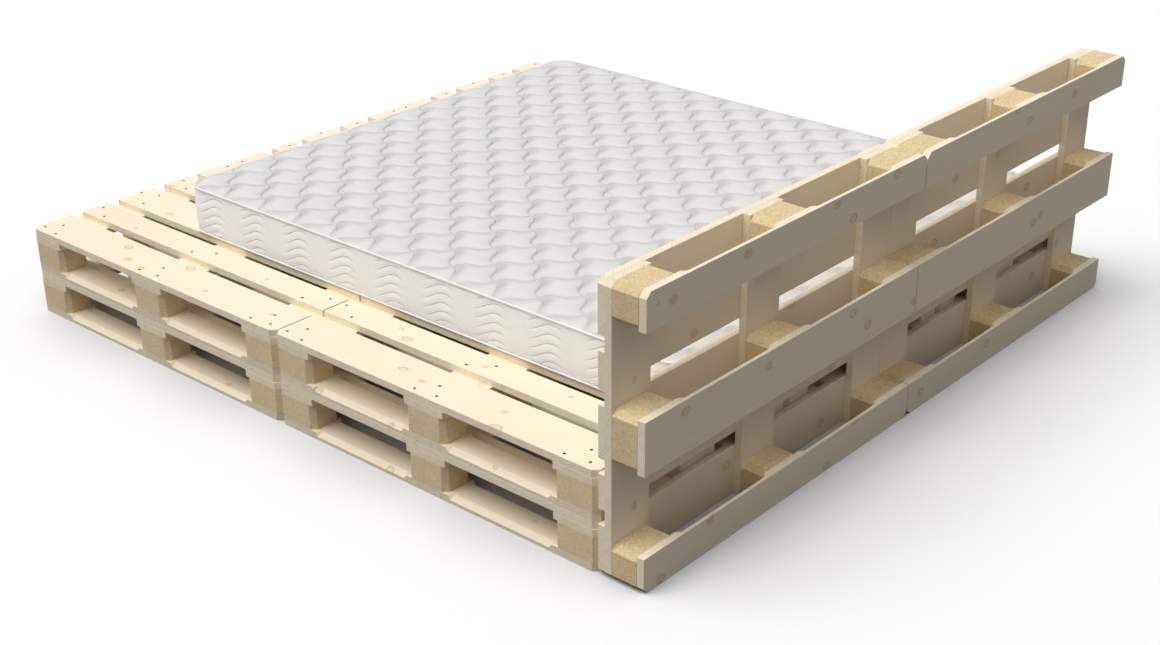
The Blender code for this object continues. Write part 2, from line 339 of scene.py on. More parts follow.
class Steps:
    """Shader nodes of a material or of the sky, added one calculation at a time."""

    def __init__(self, tree: bpy.types.NodeTree) -> None:
        """Start with the nodes that the tree has."""
        self.tree = tree

    def feed(self, socket: Socket, value: object) -> None:
        """Link a step's result to a socket, or set a plain value on it.

        Args:
            socket: The input.
            value: A step's result or a plain value.
        """
        if isinstance(value, Socket):
            self.tree.links.new(value, socket)
        else:
            socket.default_value = value

    def math(self, operation: str, first: object, second: object = 0.0) -> Socket:
        """Calculate with two numbers.

        Args:
            operation: The calculation's name.
            first: A number or a step's result.
            second: Another, where the calculation takes two.

        Returns:
            The result.
        """
        node = self.tree.nodes.new("ShaderNodeMath")
        node.operation = operation
        self.feed(node.inputs[0], first)
        self.feed(node.inputs[1], second)
        return node.outputs[0]

    def fold(self, operation: str, values: tuple) -> Socket:
        """Carry one calculation through several numbers.

        Args:
            operation: The calculation's name.
            values: Two or more numbers or steps' results, taken from left to right.

        Returns:
            The result.
        """
        result, *others = values
        for value in others:
            result = self.math(operation, result, value)
        return result

    def times(self, *values: object) -> Socket:
        """The product of several numbers."""
        return self.fold("MULTIPLY", values)

    def total(self, *values: object) -> Socket:
        """The sum of several numbers."""
        return self.fold("ADD", values)

    def rest(self, share: object) -> Socket:
        """What a share leaves of 1."""
        return self.math("SUBTRACT", 1.0, share)

    def vector(self, operation: str, first: object, second: object = (0, 0, 0)) -> Socket:
        """Calculate with two vectors.

        Args:
            operation: The calculation's name.
            first: A vector.
            second: Another, or for SCALE a number.

        Returns:
            A vector, or for LENGTH a number.
        """
        node = self.tree.nodes.new("ShaderNodeVectorMath")
        node.operation = operation
        self.feed(node.inputs[0], first)
        self.feed(node.inputs["Scale" if operation == "SCALE" else 1], second)
        return node.outputs["Value" if operation == "LENGTH" else "Vector"]

    def attribute(self, name: str, output: str = "Vector") -> Socket:
        """Read what is kept on the mesh.

        Args:
            name: The attribute's name.
            output: Vector, or Fac for a number.

        Returns:
            What is kept.
        """
        node = self.tree.nodes.new("ShaderNodeAttribute")
        node.attribute_name = name
        return node.outputs[output]

    def place(self) -> Socket:
        """The object's own coordinates, and for the sky the direction."""
        return self.tree.nodes.new("ShaderNodeTexCoord").outputs["Object"]

    def seen(self) -> Socket:
        """Tell what is looked at from what only gives light.

        Returns:
            1 where the eye looks, directly, by gloss or through a clear body, and 0 elsewhere.
        """
        rays = self.tree.nodes.new("ShaderNodeLightPath").outputs
        kinds = ("Is Camera Ray", "Is Glossy Ray", "Is Transmission Ray")
        return self.fold("MAXIMUM", tuple(rays[kind] for kind in kinds))

    def split(self, value: Socket) -> tuple:
        """Take a vector apart.

        Args:
            value: The vector.

        Returns:
            Its three numbers.
        """
        node = self.tree.nodes.new("ShaderNodeSeparateXYZ")
        self.feed(node.inputs[0], value)
        return tuple(node.outputs)

    def gather(self, x: object, y: object, z: object) -> Socket:
        """Make a vector of three numbers.

        Args:
            x: The first number.
            y: The second.
            z: The third.

        Returns:
            The vector.
        """
        node = self.tree.nodes.new("ShaderNodeCombineXYZ")
        for socket, value in zip(node.inputs, (x, y, z)):
            self.feed(socket, value)
        return node.outputs[0]

    def noise(self, where: object, scale: float, detail: float = 2.0) -> Socket:
        """Add cloudy noise.

        Args:
            where: The place.
            scale: How many clouds there are in a metre.
            detail: How fine it gets.

        Returns:
            A number from 0 to 1.
        """
        node = self.tree.nodes.new("ShaderNodeTexNoise")
        self.feed(node.inputs["Vector"], where)
        node.inputs["Scale"].default_value = scale
        node.inputs["Detail"].default_value = detail
        return node.outputs[0]

    def cells(self, where: object, scale: float, output: str = "Color") -> Socket:
        """Add cells such as flakes or pores.

        Args:
            where: The place.
            scale: How many cells there are in a metre.
            output: Color for a colour drawn by lot, Distance for how far a cell's middle is.

        Returns:
            That output.
        """
        node = self.tree.nodes.new("ShaderNodeTexVoronoi")
        self.feed(node.inputs["Vector"], where)
        node.inputs["Scale"].default_value = scale
        return node.outputs[output]

    def ease(self, value: object, start: float, end: float, low: float, high: float) -> Socket:
        """Carry a number smoothly from one range to another, held at both ends.

        Args:
            value: The number.
            start: Where the change starts.
            end: Where it ends.
            low: The result at the start and before it.
            high: The result at the end and past it.

        Returns:
            The result.
        """
        node = self.tree.nodes.new("ShaderNodeMapRange")
        node.interpolation_type = "SMOOTHSTEP"
        self.feed(node.inputs["Value"], value)
        for name, bound in (("From Min", start), ("From Max", end), ("To Min", low), ("To Max", high)):
            node.inputs[name].default_value = bound
        return node.outputs["Result"]

    def band(self, value: object, bounds: tuple, peak: float = 1.0) -> Socket:
        """Let a number rise and fall again.

        Args:
            value: The number.
            bounds: Where the rise starts and ends, then where the fall starts and ends.
            peak: How high it rises.

        Returns:
            0 outside the bounds, up to the peak between them.
        """
        start, top, over, end = bounds
        return self.times(self.ease(value, start, top, 0.0, peak), self.ease(value, over, end, 1.0, 0.0))

    def blend(self, share: object, first: object, second: object) -> Socket:
        """Go from one colour to another.

        Args:
            share: 0 for the first colour to 1 for the second.
            first: A colour or a step's result.
            second: Another.

        Returns:
            The blended colour.
        """
        node = self.tree.nodes.new("ShaderNodeMix")
        node.data_type = "RGBA"
        self.feed(node.inputs[0], share)
        for socket, value in ((node.inputs[6], first), (node.inputs[7], second)):
            self.feed(socket, value if isinstance(value, Socket) else (*value, 1.0))
        return node.outputs[2]


class Recipe(Steps):
    """One material, built up step by step."""

    def __init__(self, name: str) -> None:
        """Start a material that has only its main shader.

        Args:
            name: The material's name.
        """
        self.material = bpy.data.materials.new(name)
        self.material.use_nodes = True
        super().__init__(self.material.node_tree)
        self.shader = self.tree.nodes["Principled BSDF"]

    def relief(self, height: object, depth: float, strength: float = 1.0) -> None:
        """Let a height field roughen the surface.

        Args:
            height: The field.
            depth: How deep its full range is.
            strength: The share of it that shows.
        """
        node = self.tree.nodes.new("ShaderNodeBump")
        node.inputs["Strength"].default_value = strength
        node.inputs["Distance"].default_value = depth
        self.feed(node.inputs["Height"], height)
        self.feed(self.shader.inputs["Normal"], node.outputs[0])

    def finish(self, colour: object, roughness: object, specular: float) -> bpy.types.Material:
        """Set what the surface shows.

        Args:
            colour: A colour or a step's result.
            roughness: A number or a step's result.
            specular: The strength of its gloss.

        Returns:
            The finished material.
        """
        if not isinstance(colour, Socket):
            colour = (*colour, 1.0)
        self.feed(self.shader.inputs["Base Color"], colour)
        self.feed(self.shader.inputs["Roughness"], roughness)
        self.shader.inputs["Specular IOR Level"].default_value = specular
        return self.material


@dataclass(frozen=True)
class PalletTimber:
    """Pale softwood: planed faces, sawn edges and end grain, growth rings and knots.

    A ramp's four numbers say where it starts and ends and what it gives there. A band's four say where it
    rises from and to, and where it falls from and to.
    """

    planed: tuple = (0.965, 0.850, 0.645)
    late_wood: tuple = (0.820, 0.645, 0.415)
    streak: tuple = (0.885, 0.750, 0.540)
    knot_heart: tuple = (0.830, 0.650, 0.340)
    knot_flush: tuple = (0.830, 0.610, 0.370)
    knot_rim: tuple = (0.430, 0.310, 0.175)
    hatch: tuple = (0.985, 0.880, 0.675)
    ring_width: float = 0.0056
    sawn_share: float = 0.99
    knot_length: float = 1.3
    hatch_pitch: float = 0.0135
    clear_wood: float = 50.0
    ragged: float = 0.36
    ring_wander: float = 0.034
    ring_swell: float = 0.013
    early_share: float = 0.11
    end_share: float = 0.22
    saw_contrast: float = 0.10
    saw_scale: tuple = (260.0, 90.0, 20.0)
    furrow: float = 0.15
    slant: float = 1.3
    slant_waver: float = 0.020
    late_band: tuple = (0.35, 0.88, 0.90, 1.0)
    teeth_band: tuple = (0.1, 0.4, 0.5, 0.8)
    inner_band: tuple = (0.28, 0.42, 0.42, 0.58)
    inner_peak: float = 0.34
    rim_band: tuple = (0.74, 0.92, 0.92, 1.14)
    rim_peak: float = 0.80
    halo_ramp: tuple = (0.9, 2.2, 0.16, 0.0)
    heart_ramp: tuple = (0.84, 1.06, 0.80, 0.0)
    fullness_ramp: tuple = (0.36, 0.64, 0.30, 1.0)
    flush_ramp: tuple = (0.48, 0.60, 0.0, 1.0)
    boldness_ramp: tuple = (0.38, 0.58, 1.0, 0.32)
    fibre_ramp: tuple = (0.42, 0.78, 0.0, 0.26)
    broad_ramp: tuple = (0.35, 0.75, 0.0, 0.18)
    wear_ramp: tuple = (0.42, 0.60, 0.0, 0.62)

    @staticmethod
    def streaks(
        recipe: Recipe, parts: tuple, seed: object, along: float, across: float, detail: float = 2.0
    ) -> Socket:
        """Noise drawn out along the grain.

        Args:
            recipe: The material being built.
            parts: How far along, across and deep in its board a point lies.
            seed: The board's own number.
            along: How fast it changes along the grain.
            across: How fast it changes across the grain.
            detail: How fine it gets.

        Returns:
            A number from 0 to 1.
        """
        run, side, deep = parts
        run = recipe.total(recipe.times(run, along), seed)
        where = recipe.gather(run, recipe.times(side, across), recipe.times(deep, across))
        return recipe.noise(where, 1.0, detail)

    def knots(self, recipe: Recipe, place: Socket) -> Socket:
        """How far a point is from the nearest knot, in knot radii.

        Args:
            recipe: The material being built.
            place: The point's place on its board.

        Returns:
            The distance.
        """
        nearest: object = self.clear_wood
        for number in range(1, KNOTS_PER_BOARD + 1):
            knot = recipe.attribute(f"knot_{number}")
            off = recipe.vector("SUBTRACT", place, knot)
            off = recipe.vector("MULTIPLY", off, (1 / self.knot_length, 1, 0))
            radius = recipe.split(knot)[2]
            share = recipe.math("DIVIDE", recipe.vector("LENGTH", off), radius)
            nearest = recipe.math("MINIMUM", share, nearest)
        ragged = recipe.times(recipe.noise(place, 150.0, 1.0), self.ragged)
        return recipe.total(nearest, recipe.math("SUBTRACT", ragged, self.ragged / 2))

    def rings(self, recipe: Recipe, place: object, seed: object, nearest: object) -> Socket:
        """How dark the growth ring is at a point.

        Args:
            recipe: The material being built.
            place: The point's place on its board.
            seed: The board's own number.
            nearest: The distance to the nearest knot.

        Returns:
            0 in early wood to 1 at the late wood line.
        """
        heart = recipe.attribute("board_heart")
        off = recipe.vector("MULTIPLY", recipe.vector("SUBTRACT", place, heart), (0, 1, 1))
        radius = recipe.vector("LENGTH", off)
        wander = self.streaks(recipe, recipe.split(place), seed, along=1.6, across=7.0)
        swell = recipe.math("EXPONENT", recipe.times(nearest, -0.55))
        radius = recipe.total(
            radius, recipe.times(wander, self.ring_wander), recipe.times(swell, self.ring_swell)
        )
        phase = recipe.math("FRACT", recipe.math("DIVIDE", radius, self.ring_width))
        return recipe.band(phase, self.late_band)

    def draw_knots(
        self, recipe: Recipe, colour: object, nearest: object, sawn: object, lot: object
    ) -> Socket:
        """Draw the knots: a pale tan heart, a thin inner line and a darker rim.

        Args:
            recipe: The material being built.
            colour: The clear wood's colour.
            nearest: The distance to the nearest knot.
            sawn: 1 on sawn faces, where a knot shows as a faint smear.
            lot: A slowly changing number from 0 to 1 that makes some knots fuller and others only a line.

        Returns:
            The colour with knots.
        """
        plain = recipe.rest(recipe.times(sawn, 0.6))
        colour = recipe.blend(recipe.ease(nearest, *self.halo_ramp), colour, self.late_wood)
        fullness = recipe.times(recipe.ease(lot, *self.fullness_ramp), plain)
        heart = recipe.times(recipe.ease(nearest, *self.heart_ramp), fullness)
        tint = recipe.blend(recipe.ease(lot, *self.flush_ramp), self.knot_heart, self.knot_flush)
        colour = recipe.blend(heart, colour, tint)
        inner = recipe.band(nearest, self.inner_band, self.inner_peak)
        rim = recipe.band(nearest, self.rim_band, self.rim_peak)
        boldness = recipe.times(recipe.ease(lot, *self.boldness_ramp), plain)
        line = recipe.times(recipe.total(inner, rim), boldness)
        return recipe.blend(line, colour, self.knot_rim)

    def make(self) -> bpy.types.Material:
        """Build the material.

        Returns:
            The material.
        """
        recipe = Recipe("pallet_timber")
        place = recipe.attribute("grain_place")
        seed = recipe.attribute("grain_seed", "Fac")
        cut = recipe.attribute("cut_face", "Fac")
        sawn = recipe.math("MINIMUM", cut, 1.0)
        end = recipe.math("MAXIMUM", recipe.math("SUBTRACT", cut, 1.0), 0.0)
        nearest = self.knots(recipe, place)
        ring = self.rings(recipe, place, seed, nearest)
        parts = recipe.split(place)
        along, across, deep = parts
        fibre = self.streaks(recipe, parts, seed, along=5.0, across=260.0, detail=3.0)
        broad = self.streaks(recipe, parts, seed, along=2.2, across=12.0)
        ring_share = recipe.total(self.early_share, recipe.times(end, self.end_share))
        ring_share = recipe.times(ring, ring_share)
        colour = recipe.blend(ring_share, self.planed, self.late_wood)
        colour = recipe.blend(recipe.ease(fibre, *self.fibre_ramp), colour, self.streak)
        colour = recipe.blend(recipe.ease(broad, *self.broad_ramp), colour, self.streak)
        lot_place = recipe.vector("ADD", recipe.vector("SCALE", place, 11.0), recipe.gather(seed, 0, 0))
        lot = recipe.noise(lot_place, 1.0, 0.0)
        colour = self.draw_knots(recipe, colour, nearest, sawn, lot)
        # Each board's random brightness, with painted shade on the base pallets' bottom boards.
        tone_and_shade = recipe.attribute("board_tone_and_shade", "Fac")
        # Sawn faces come out slightly darker than planed ones, by sawn_share.
        sawn_darker = recipe.rest(recipe.times(sawn, 1.0 - self.sawn_share))
        saw_along, saw_deep, saw_across = self.saw_scale
        saw_run = recipe.total(recipe.times(along, saw_along), recipe.times(deep, saw_deep))
        saw = recipe.noise(recipe.gather(saw_run, recipe.times(across, saw_across), seed), 1.0)
        waver = recipe.times(recipe.noise(place, 60.0, 1.0), self.slant_waver)
        slant = recipe.total(along, recipe.times(recipe.total(deep, across), self.slant), waver)
        teeth = recipe.math("FRACT", recipe.math("DIVIDE", slant, self.hatch_pitch))
        teeth = recipe.band(teeth, self.teeth_band)
        worn = recipe.ease(recipe.noise(place, 46.0), *self.wear_ramp)
        colour = recipe.blend(recipe.times(teeth, worn, sawn), colour, self.hatch)
        saw_tone = recipe.times(recipe.math("SUBTRACT", saw, 0.5), self.saw_contrast, sawn)
        furrow = recipe.times(recipe.rest(teeth), worn, sawn, self.furrow)
        saw_tone = recipe.math("SUBTRACT", saw_tone, furrow)
        level = recipe.total(recipe.times(sawn_darker, tone_and_shade), saw_tone)
        colour = recipe.vector("SCALE", colour, level)
        fuzz = recipe.times(saw, recipe.times(sawn, 1.2))
        height = recipe.total(recipe.times(fibre, 0.5), fuzz)
        height = recipe.math("SUBTRACT", height, recipe.times(ring, 0.25))
        recipe.relief(height, depth=0.0006, strength=0.7)
        roughness = recipe.total(0.66, recipe.times(sawn, 0.2))
        return recipe.finish(colour, roughness, specular=0.22)


@dataclass(frozen=True)
class BlockChipboard:
    """Pressed wood flakes, as the blocks between the boards are made of."""

    middling: tuple = (0.785, 0.600, 0.340)
    dark: tuple = (0.600, 0.430, 0.225)
    pale: tuple = (0.900, 0.750, 0.495)
    # The base pallets' blocks are blended toward the next colour, so they come out paler than the
    # headboard's.
    base_block_pale: tuple = (0.990, 0.860, 0.660)
    base_block_pale_share: float = 0.18
    flakes: float = 190.0
    fine_share: float = 2.2
    flake_stretch: tuple = (0.75, 1.0, 1.5)
    coarse_pale: tuple = (0.55, 0.95, 0.0, 0.52)
    coarse_dark: tuple = (0.05, 0.32, 0.42, 0.0)
    fine_dark: tuple = (0.70, 0.98, 0.0, 0.30)
    fine_pale: tuple = (0.0, 0.25, 0.26, 0.0)

    def make(self) -> bpy.types.Material:
        """Build the material.

        Returns:
            The material.
        """
        recipe = Recipe("block_chipboard")
        place = recipe.place()
        stray = recipe.times(recipe.noise(place, 45.0, 2.0), 0.02)
        bent = recipe.vector("MULTIPLY", place, self.flake_stretch)
        bent = recipe.vector("ADD", bent, recipe.gather(stray, stray, 0))
        coarse = recipe.split(recipe.cells(bent, self.flakes))[0]
        fine = recipe.split(recipe.cells(bent, self.flakes * self.fine_share))[1]
        colour = self.middling
        for flake, ramp, tint in (
            (coarse, self.coarse_pale, self.pale),
            (coarse, self.coarse_dark, self.dark),
            (fine, self.fine_dark, self.dark),
            (fine, self.fine_pale, self.pale),
        ):
            colour = recipe.blend(recipe.ease(flake, *ramp), colour, tint)
        # Paler on the base pallets' blocks.
        base_paling = recipe.times(recipe.attribute("block_on_base", "Fac"), self.base_block_pale_share)
        colour = recipe.blend(base_paling, colour, self.base_block_pale)
        cloud = recipe.times(recipe.noise(place, 14.0, 2.0), 0.14)
        colour = recipe.vector("SCALE", colour, recipe.total(0.93, cloud))
        height = recipe.total(coarse, recipe.times(fine, 0.5))
        recipe.relief(height, depth=0.0005, strength=0.8)
        return recipe.finish(colour, roughness=0.86, specular=0.18)


@dataclass(frozen=True)
class NailSteel:
    """Dull dark steel of nail heads, with a little rust."""

    steel: tuple = (0.034, 0.028, 0.024)
    rust: tuple = (0.085, 0.052, 0.032)
    rust_ramp: tuple = (0.45, 0.70, 0.0, 0.8)

    def make(self) -> bpy.types.Material:
        """Build the material.

        Returns:
            The material.
        """
        recipe = Recipe("nail_steel")
        spots = recipe.noise(recipe.place(), 420.0, 3.0)
        colour = recipe.blend(recipe.ease(spots, *self.rust_ramp), self.steel, self.rust)
        recipe.relief(spots, depth=0.0003, strength=0.6)
        return recipe.finish(colour, roughness=0.72, specular=0.10)


@dataclass(frozen=True)
class Cloth:
    """Knitted cover cloth, stitched along its quilting seams."""

    name: str
    colour: tuple
    thread: tuple
    wale: float = 0.0022
    course: float = 0.0016
    stitch: float = 0.0062
    pucker: float = 0.013
    pucker_depth: float = 0.0010
    # The next colour is that of shade painted into the cover; seam_shade is how much of it fills each seam's
    # groove.
    painted_shade: tuple = (0.455, 0.442, 0.420)
    seam_shade: float = 0.35
    groove: float = 0.0075
    groove_depth: float = 0.8
    spacing: float = 0.1175
    # The next fields place shade painted on the flank just past each seam, on one side only, as if light came
    # from the head end; the first is how far past the seam it reaches.
    painted_flank_shade: float = 0.044
    flank_shade_shares: tuple = (0.42, 0.66)
    flank_shade_at: tuple = (0.52, 0.36)
    flank_shade_start: float = 0.004
    flank_shade_edge: tuple = (0.0, 0.005, 0.5, 1.0)
    flank_shade_wave: tuple = (0.66, 0.34)
    thread_ramp: tuple = (0.0005, 0.0013, 1.0, 0.0)
    dash_ramp: tuple = (0.62, 0.74, 1.0, 0.0)
    slack_ramp: tuple = (0.35, 0.75, 0.0, 0.10)
    heights: tuple = (0.06, 0.30, 0.30, 0.9)

    def seam(self, recipe: Recipe) -> tuple:
        """Where the quilting seams run.

        Args:
            recipe: The material being built.

        Returns:
            The distance to the nearest seam, the length run along it, how tight it is sewn and how much
            painted shade falls on a point in the flank just past a seam.
        """
        first, second, _ = recipe.split(recipe.attribute("seam_place"))
        gaps = []
        painted_flank_shades = []
        for counted, other, share, at in zip(
            (first, second), (second, first), self.flank_shade_shares, self.flank_shade_at
        ):
            off = recipe.math("ABSOLUTE", recipe.math("SUBTRACT", counted, recipe.math("ROUND", counted)))
            gaps.append(recipe.times(off, self.spacing))
            beyond = recipe.times(recipe.math("FRACT", counted), self.spacing)
            turned = recipe.times(recipe.math("SUBTRACT", other, at), math.tau)
            mean, swing = self.flank_shade_wave
            swell = recipe.total(mean, recipe.times(recipe.math("COSINE", turned), swing))
            # Painted shade on the flank just past the seam, strongest beside it and fading out further on.
            fall = recipe.ease(beyond, self.flank_shade_start, self.painted_flank_shade, share, 0.0)
            rise = recipe.ease(beyond, *self.flank_shade_edge)
            painted_flank_shades.append(recipe.times(fall, rise, swell))
        by_first = recipe.math("LESS_THAN", gaps[0], gaps[1])
        along_second = recipe.times(recipe.rest(by_first), first)
        run = recipe.total(recipe.times(by_first, second), along_second)
        away = recipe.math("MINIMUM", gaps[0], gaps[1])
        return away, recipe.times(run, self.spacing), 1.0, recipe.total(*painted_flank_shades)

    def make(self) -> bpy.types.Material:
        """Build the material.

        Returns:
            The material.
        """
        recipe = Recipe(self.name)
        cloth = recipe.attribute("cloth_place")
        across, along, _ = recipe.split(cloth)
        wales = recipe.math("SINE", recipe.times(across, math.tau / self.wale))
        courses = recipe.math("SINE", recipe.times(along, math.tau / self.course))
        knit = recipe.times(wales, courses)
        seam, run, tight, painted_flank_shade = self.seam(recipe)
        near = recipe.math("EXPONENT", recipe.math("DIVIDE", seam, -0.011))
        waver = recipe.times(recipe.noise(cloth, 60.0, 1.0), 5.0)
        gathers = recipe.total(recipe.times(run, math.tau / self.pucker), waver)
        gathers = recipe.times(recipe.math("SINE", gathers), near)
        on_seam = recipe.ease(seam, *self.thread_ramp)
        dash = recipe.math("FRACT", recipe.math("DIVIDE", run, self.stitch))
        stitches = recipe.times(on_seam, recipe.ease(dash, *self.dash_ramp))
        slack = recipe.noise(cloth, 26.0, 3.0)
        sunk = recipe.times(recipe.ease(seam, 0.0, self.groove, 1.0, 0.0), tight)
        colour = recipe.blend(recipe.ease(slack, *self.slack_ramp), self.colour, self.thread)
        # Painted shade: the flank just past each seam is darkened on one side only, as if light came from the
        # head end.
        colour = recipe.blend(painted_flank_shade, colour, self.painted_shade)
        # Painted shade: each seam's groove is darkened toward the painted shade colour.
        colour = recipe.blend(recipe.times(sunk, self.seam_shade), colour, self.painted_shade)
        colour = recipe.blend(recipe.times(stitches, 0.3), colour, self.thread)
        weave = recipe.total(1.0, recipe.times(knit, 0.012))
        colour = recipe.vector("SCALE", colour, weave)
        parts = zip((knit, gathers, stitches, slack), self.heights)
        height = recipe.total(*(recipe.times(part, share) for part, share in parts))
        height = recipe.math("SUBTRACT", height, recipe.times(sunk, self.groove_depth))
        recipe.relief(height, self.pucker_depth, strength=0.9)
        recipe.shader.inputs["Sheen Weight"].default_value = 0.06
        return recipe.finish(colour, roughness=0.88, specular=0.15)


@dataclass(frozen=True)
class WavedCloth(Cloth):
    """The same cloth sewn in rows of waves that sink in where they climb and fade where they fall."""

    wave_height: float = WAVE_HEIGHT
    wave_spacing: float = WAVE_SPACING
    tight_at: float = WAVE_TIGHT_AT

    def seam(self, recipe: Recipe) -> tuple:
        """Where the rows of waves run.

        Args:
            recipe: The material being built.

        Returns:
            The distance to the nearest row, the length run along it, how tight it is sewn, and 0 for the
            painted flank shade, which the border doesn't get.
        """
        waves, level, run = recipe.split(recipe.attribute("seam_place"))
        swing = recipe.math("COSINE", recipe.times(waves, math.tau))
        swing = recipe.times(swing, self.wave_height)
        row = recipe.math("DIVIDE", recipe.math("SUBTRACT", level, swing), self.wave_spacing)
        off = recipe.math("SUBTRACT", row, recipe.math("ROUND", row))
        away = recipe.times(recipe.math("ABSOLUTE", off), self.wave_spacing)
        turned = recipe.times(recipe.total(waves, self.tight_at), math.tau)
        tight = recipe.ease(recipe.math("COSINE", turned), -WAVE_TIGHT_REACH, WAVE_TIGHT_REACH, 0.0, 1.0)
        return away, run, tight, 0.0


@dataclass(frozen=True)
class EdgeTape:
    """Ribbed white tape sewn over the mattress's upper and lower edges."""

    colour: tuple = (0.915, 0.905, 0.885)
    shadow: tuple = (0.800, 0.785, 0.760)
    rib: float = 0.0028
    rib_slant: float = 0.6
    rib_ramp: tuple = (-1.0, 0.2, 0.30, 0.0)

    def make(self) -> bpy.types.Material:
        """Build the material.

        Returns:
            The material.
        """
        recipe = Recipe("edge_piping")
        run, around, _ = recipe.split(recipe.attribute("cloth_place"))
        slanted = recipe.total(run, recipe.times(around, self.rib_slant))
        ribs = recipe.math("SINE", recipe.times(slanted, math.tau / self.rib))
        colour = recipe.blend(recipe.ease(ribs, *self.rib_ramp), self.colour, self.shadow)
        recipe.relief(ribs, depth=0.0001, strength=0.5)
        return recipe.finish(colour, roughness=0.85, specular=0.08)


@dataclass(frozen=True)
class Foam:
    """Open-celled cream foam."""

    colour: tuple = (0.880, 0.840, 0.720)
    pore: tuple = (0.700, 0.640, 0.500)
    pore_ramp: tuple = (0.05, 0.45, 0.7, 0.0)

    def make(self) -> bpy.types.Material:
        """Build the material.

        Returns:
            The material.
        """
        recipe = Recipe("mattress_foam")
        pores = recipe.cells(recipe.place(), 420.0, "Distance")
        colour = recipe.blend(recipe.ease(pores, *self.pore_ramp), self.colour, self.pore)
        recipe.relief(pores, depth=0.0008, strength=0.8)
        return recipe.finish(colour, roughness=0.95, specular=0.1)


@dataclass(frozen=True)
class Finishes:
    """Every material of the bed, built once."""

    timber: bpy.types.Material
    chipboard: bpy.types.Material
    steel: bpy.types.Material
    quilting: bpy.types.Material
    border: bpy.types.Material
    tape: bpy.types.Material
    foam: bpy.types.Material

    @staticmethod
    def mix() -> "Finishes":
        """Build all the materials.

        Returns:
            The set of them.
        """
        return Finishes(
            timber=PalletTimber().make(),
            chipboard=BlockChipboard().make(),
            steel=NailSteel().make(),
            quilting=Cloth("quilted_cover", (0.756, 0.744, 0.724), (0.826, 0.816, 0.800)).make(),
            border=WavedCloth(
                "border_cover",
                (0.970, 0.970, 0.975),
                (0.985, 0.985, 0.980),
                # The border's painted shade colour, and how much of it fills the grooves of its rows.
                painted_shade=(0.700, 0.690, 0.680),
                seam_shade=0.18,
                groove=0.0034,
                groove_depth=2.0,
            ).make(),
            tape=EdgeTape().make(),
            foam=Foam().make(),
        )


def dress(piece: Piece, finish: bpy.types.Material, body: str, nodes: tuple) -> None:
    """Give a piece its material, the body that it moves with and the solids that it stands for.

    Args:
        piece: The finished object.
        finish: Its material.
        body: The body that it rides on.
        nodes: The names of the solids that it replaces.
    """
    piece.data.materials.clear()
    piece.data.materials.append(finish)
    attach(piece, body)
    if nodes:
        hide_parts(*nodes)
    log.info("%s: %d faces", piece.name, len(piece.data.polygons))


@dataclass(frozen=True)
class Knot:
    """A knot on a board, placed on its pallet."""

    along: float
    across: float
    radius: float = 0.0118


def knots(*places: tuple) -> list:
    """Knots from their places, and radius where it isn't the usual one.

    Args:
        places: Tuples of along, across and, for some, radius.

    Returns:
        The list of knots.
    """
    return [Knot(*place) for place in places]


KNOT_PLACES = {
    ("base_layer2_row1_col3", "deck", 0): knots(
        (-0.145, -0.355), (-0.059, -0.371, 0.010), (-0.223, -0.297),
        (0.061, -0.273, 0.0125), (0.230, -0.349, 0.0065), (0.508, -0.327, 0.0065),
    ),
    ("base_layer2_row1_col3", "deck", 1): knots((-0.340, -0.187, 0.0055), (0.301, -0.175, 0.0055)),
    ("base_layer2_row2_col3", "deck", 0): knots(
        (-0.153, -0.321, 0.0100), (-0.063, -0.341, 0.0085), (0.222, -0.323, 0.0080), (0.260, -0.399, 0.016)
    ),
    ("base_layer2_row2_col3", "deck", 1): knots(
        (-0.279, -0.187, 0.0130), (-0.340, -0.151, 0.0065), (0.008, -0.170, 0.0060), (0.297, -0.150, 0.0065)
    ),
    ("base_layer2_row1_col3", "bottom", 0): knots((-0.206, -0.353, 0.0110)),
    ("base_layer2_row2_col3", "bottom", 0): knots(
        (-0.426, -0.396, 0.0120), (-0.128, -0.398, 0.0080), (0.247, -0.386, 0.0060)
    ),
    ("base_layer1_row1_col3", "bottom", 0): knots((0.331, -0.373, 0.0090)),
    ("base_layer1_row2_col3", "bottom", 0): knots((-0.146, -0.398, 0.0100), (0.342, -0.347, 0.0060)),
    ("headboard_2", "bottom", 2): knots(
        (0.500, 0.352), (0.215, 0.372, 0.0125), (0.556, 0.362, 0.004),
        (-0.164, 0.382), (-0.244, 0.322), (-0.449, 0.384),
    ),
    ("headboard_1", "bottom", 2): knots((0.020, 0.342), (-0.260, 0.354), (0.100, 0.398, 0.013)),
    ("headboard_2", "bottom", 1): knots(
        (0.444, 0.041), (0.108, 0.032), (-0.273, 0.042), (-0.353, -0.019), (-0.592, -0.034)
    ),
    ("headboard_1", "bottom", 1): knots((-0.081, -0.010), (-0.121, 0.004)),
    ("headboard_2", "bottom", 0): knots((0.335, -0.312), (-0.188, -0.384), (0.532, -0.386), (-0.324, -0.300)),
    ("headboard_1", "bottom", 0): knots((0.528, -0.352), (0.144, -0.338)),
    ("headboard_2", "deck", 3): knots((0.261, 0.141)),
    ("headboard_2", "deck", 2): knots((-0.165, 0.071)),
    ("headboard_2", "deck", 1): knots((-0.379, -0.195)),
    ("headboard_2", "deck", 0): knots((-0.337, -0.359), (0.106, -0.301)),
    ("headboard_1", "deck", 2): knots((0.304, 0.011), (-0.258, 0.024)),
    ("headboard_1", "deck", 0): knots((-0.367, -0.318)),
    ("headboard_1", "deck", 3): knots((0.206, 0.184)),
}


@dataclass(frozen=True)
class Seat:
    """Where a board or block goes in its pallet."""

    pattern: str
    centre: tuple
    turn: float = 0.0

    def matrix(self) -> Matrix:
        """The place as a matrix."""
        return Matrix.Translation(self.centre) @ Matrix.Rotation(self.turn, 4, "Z")


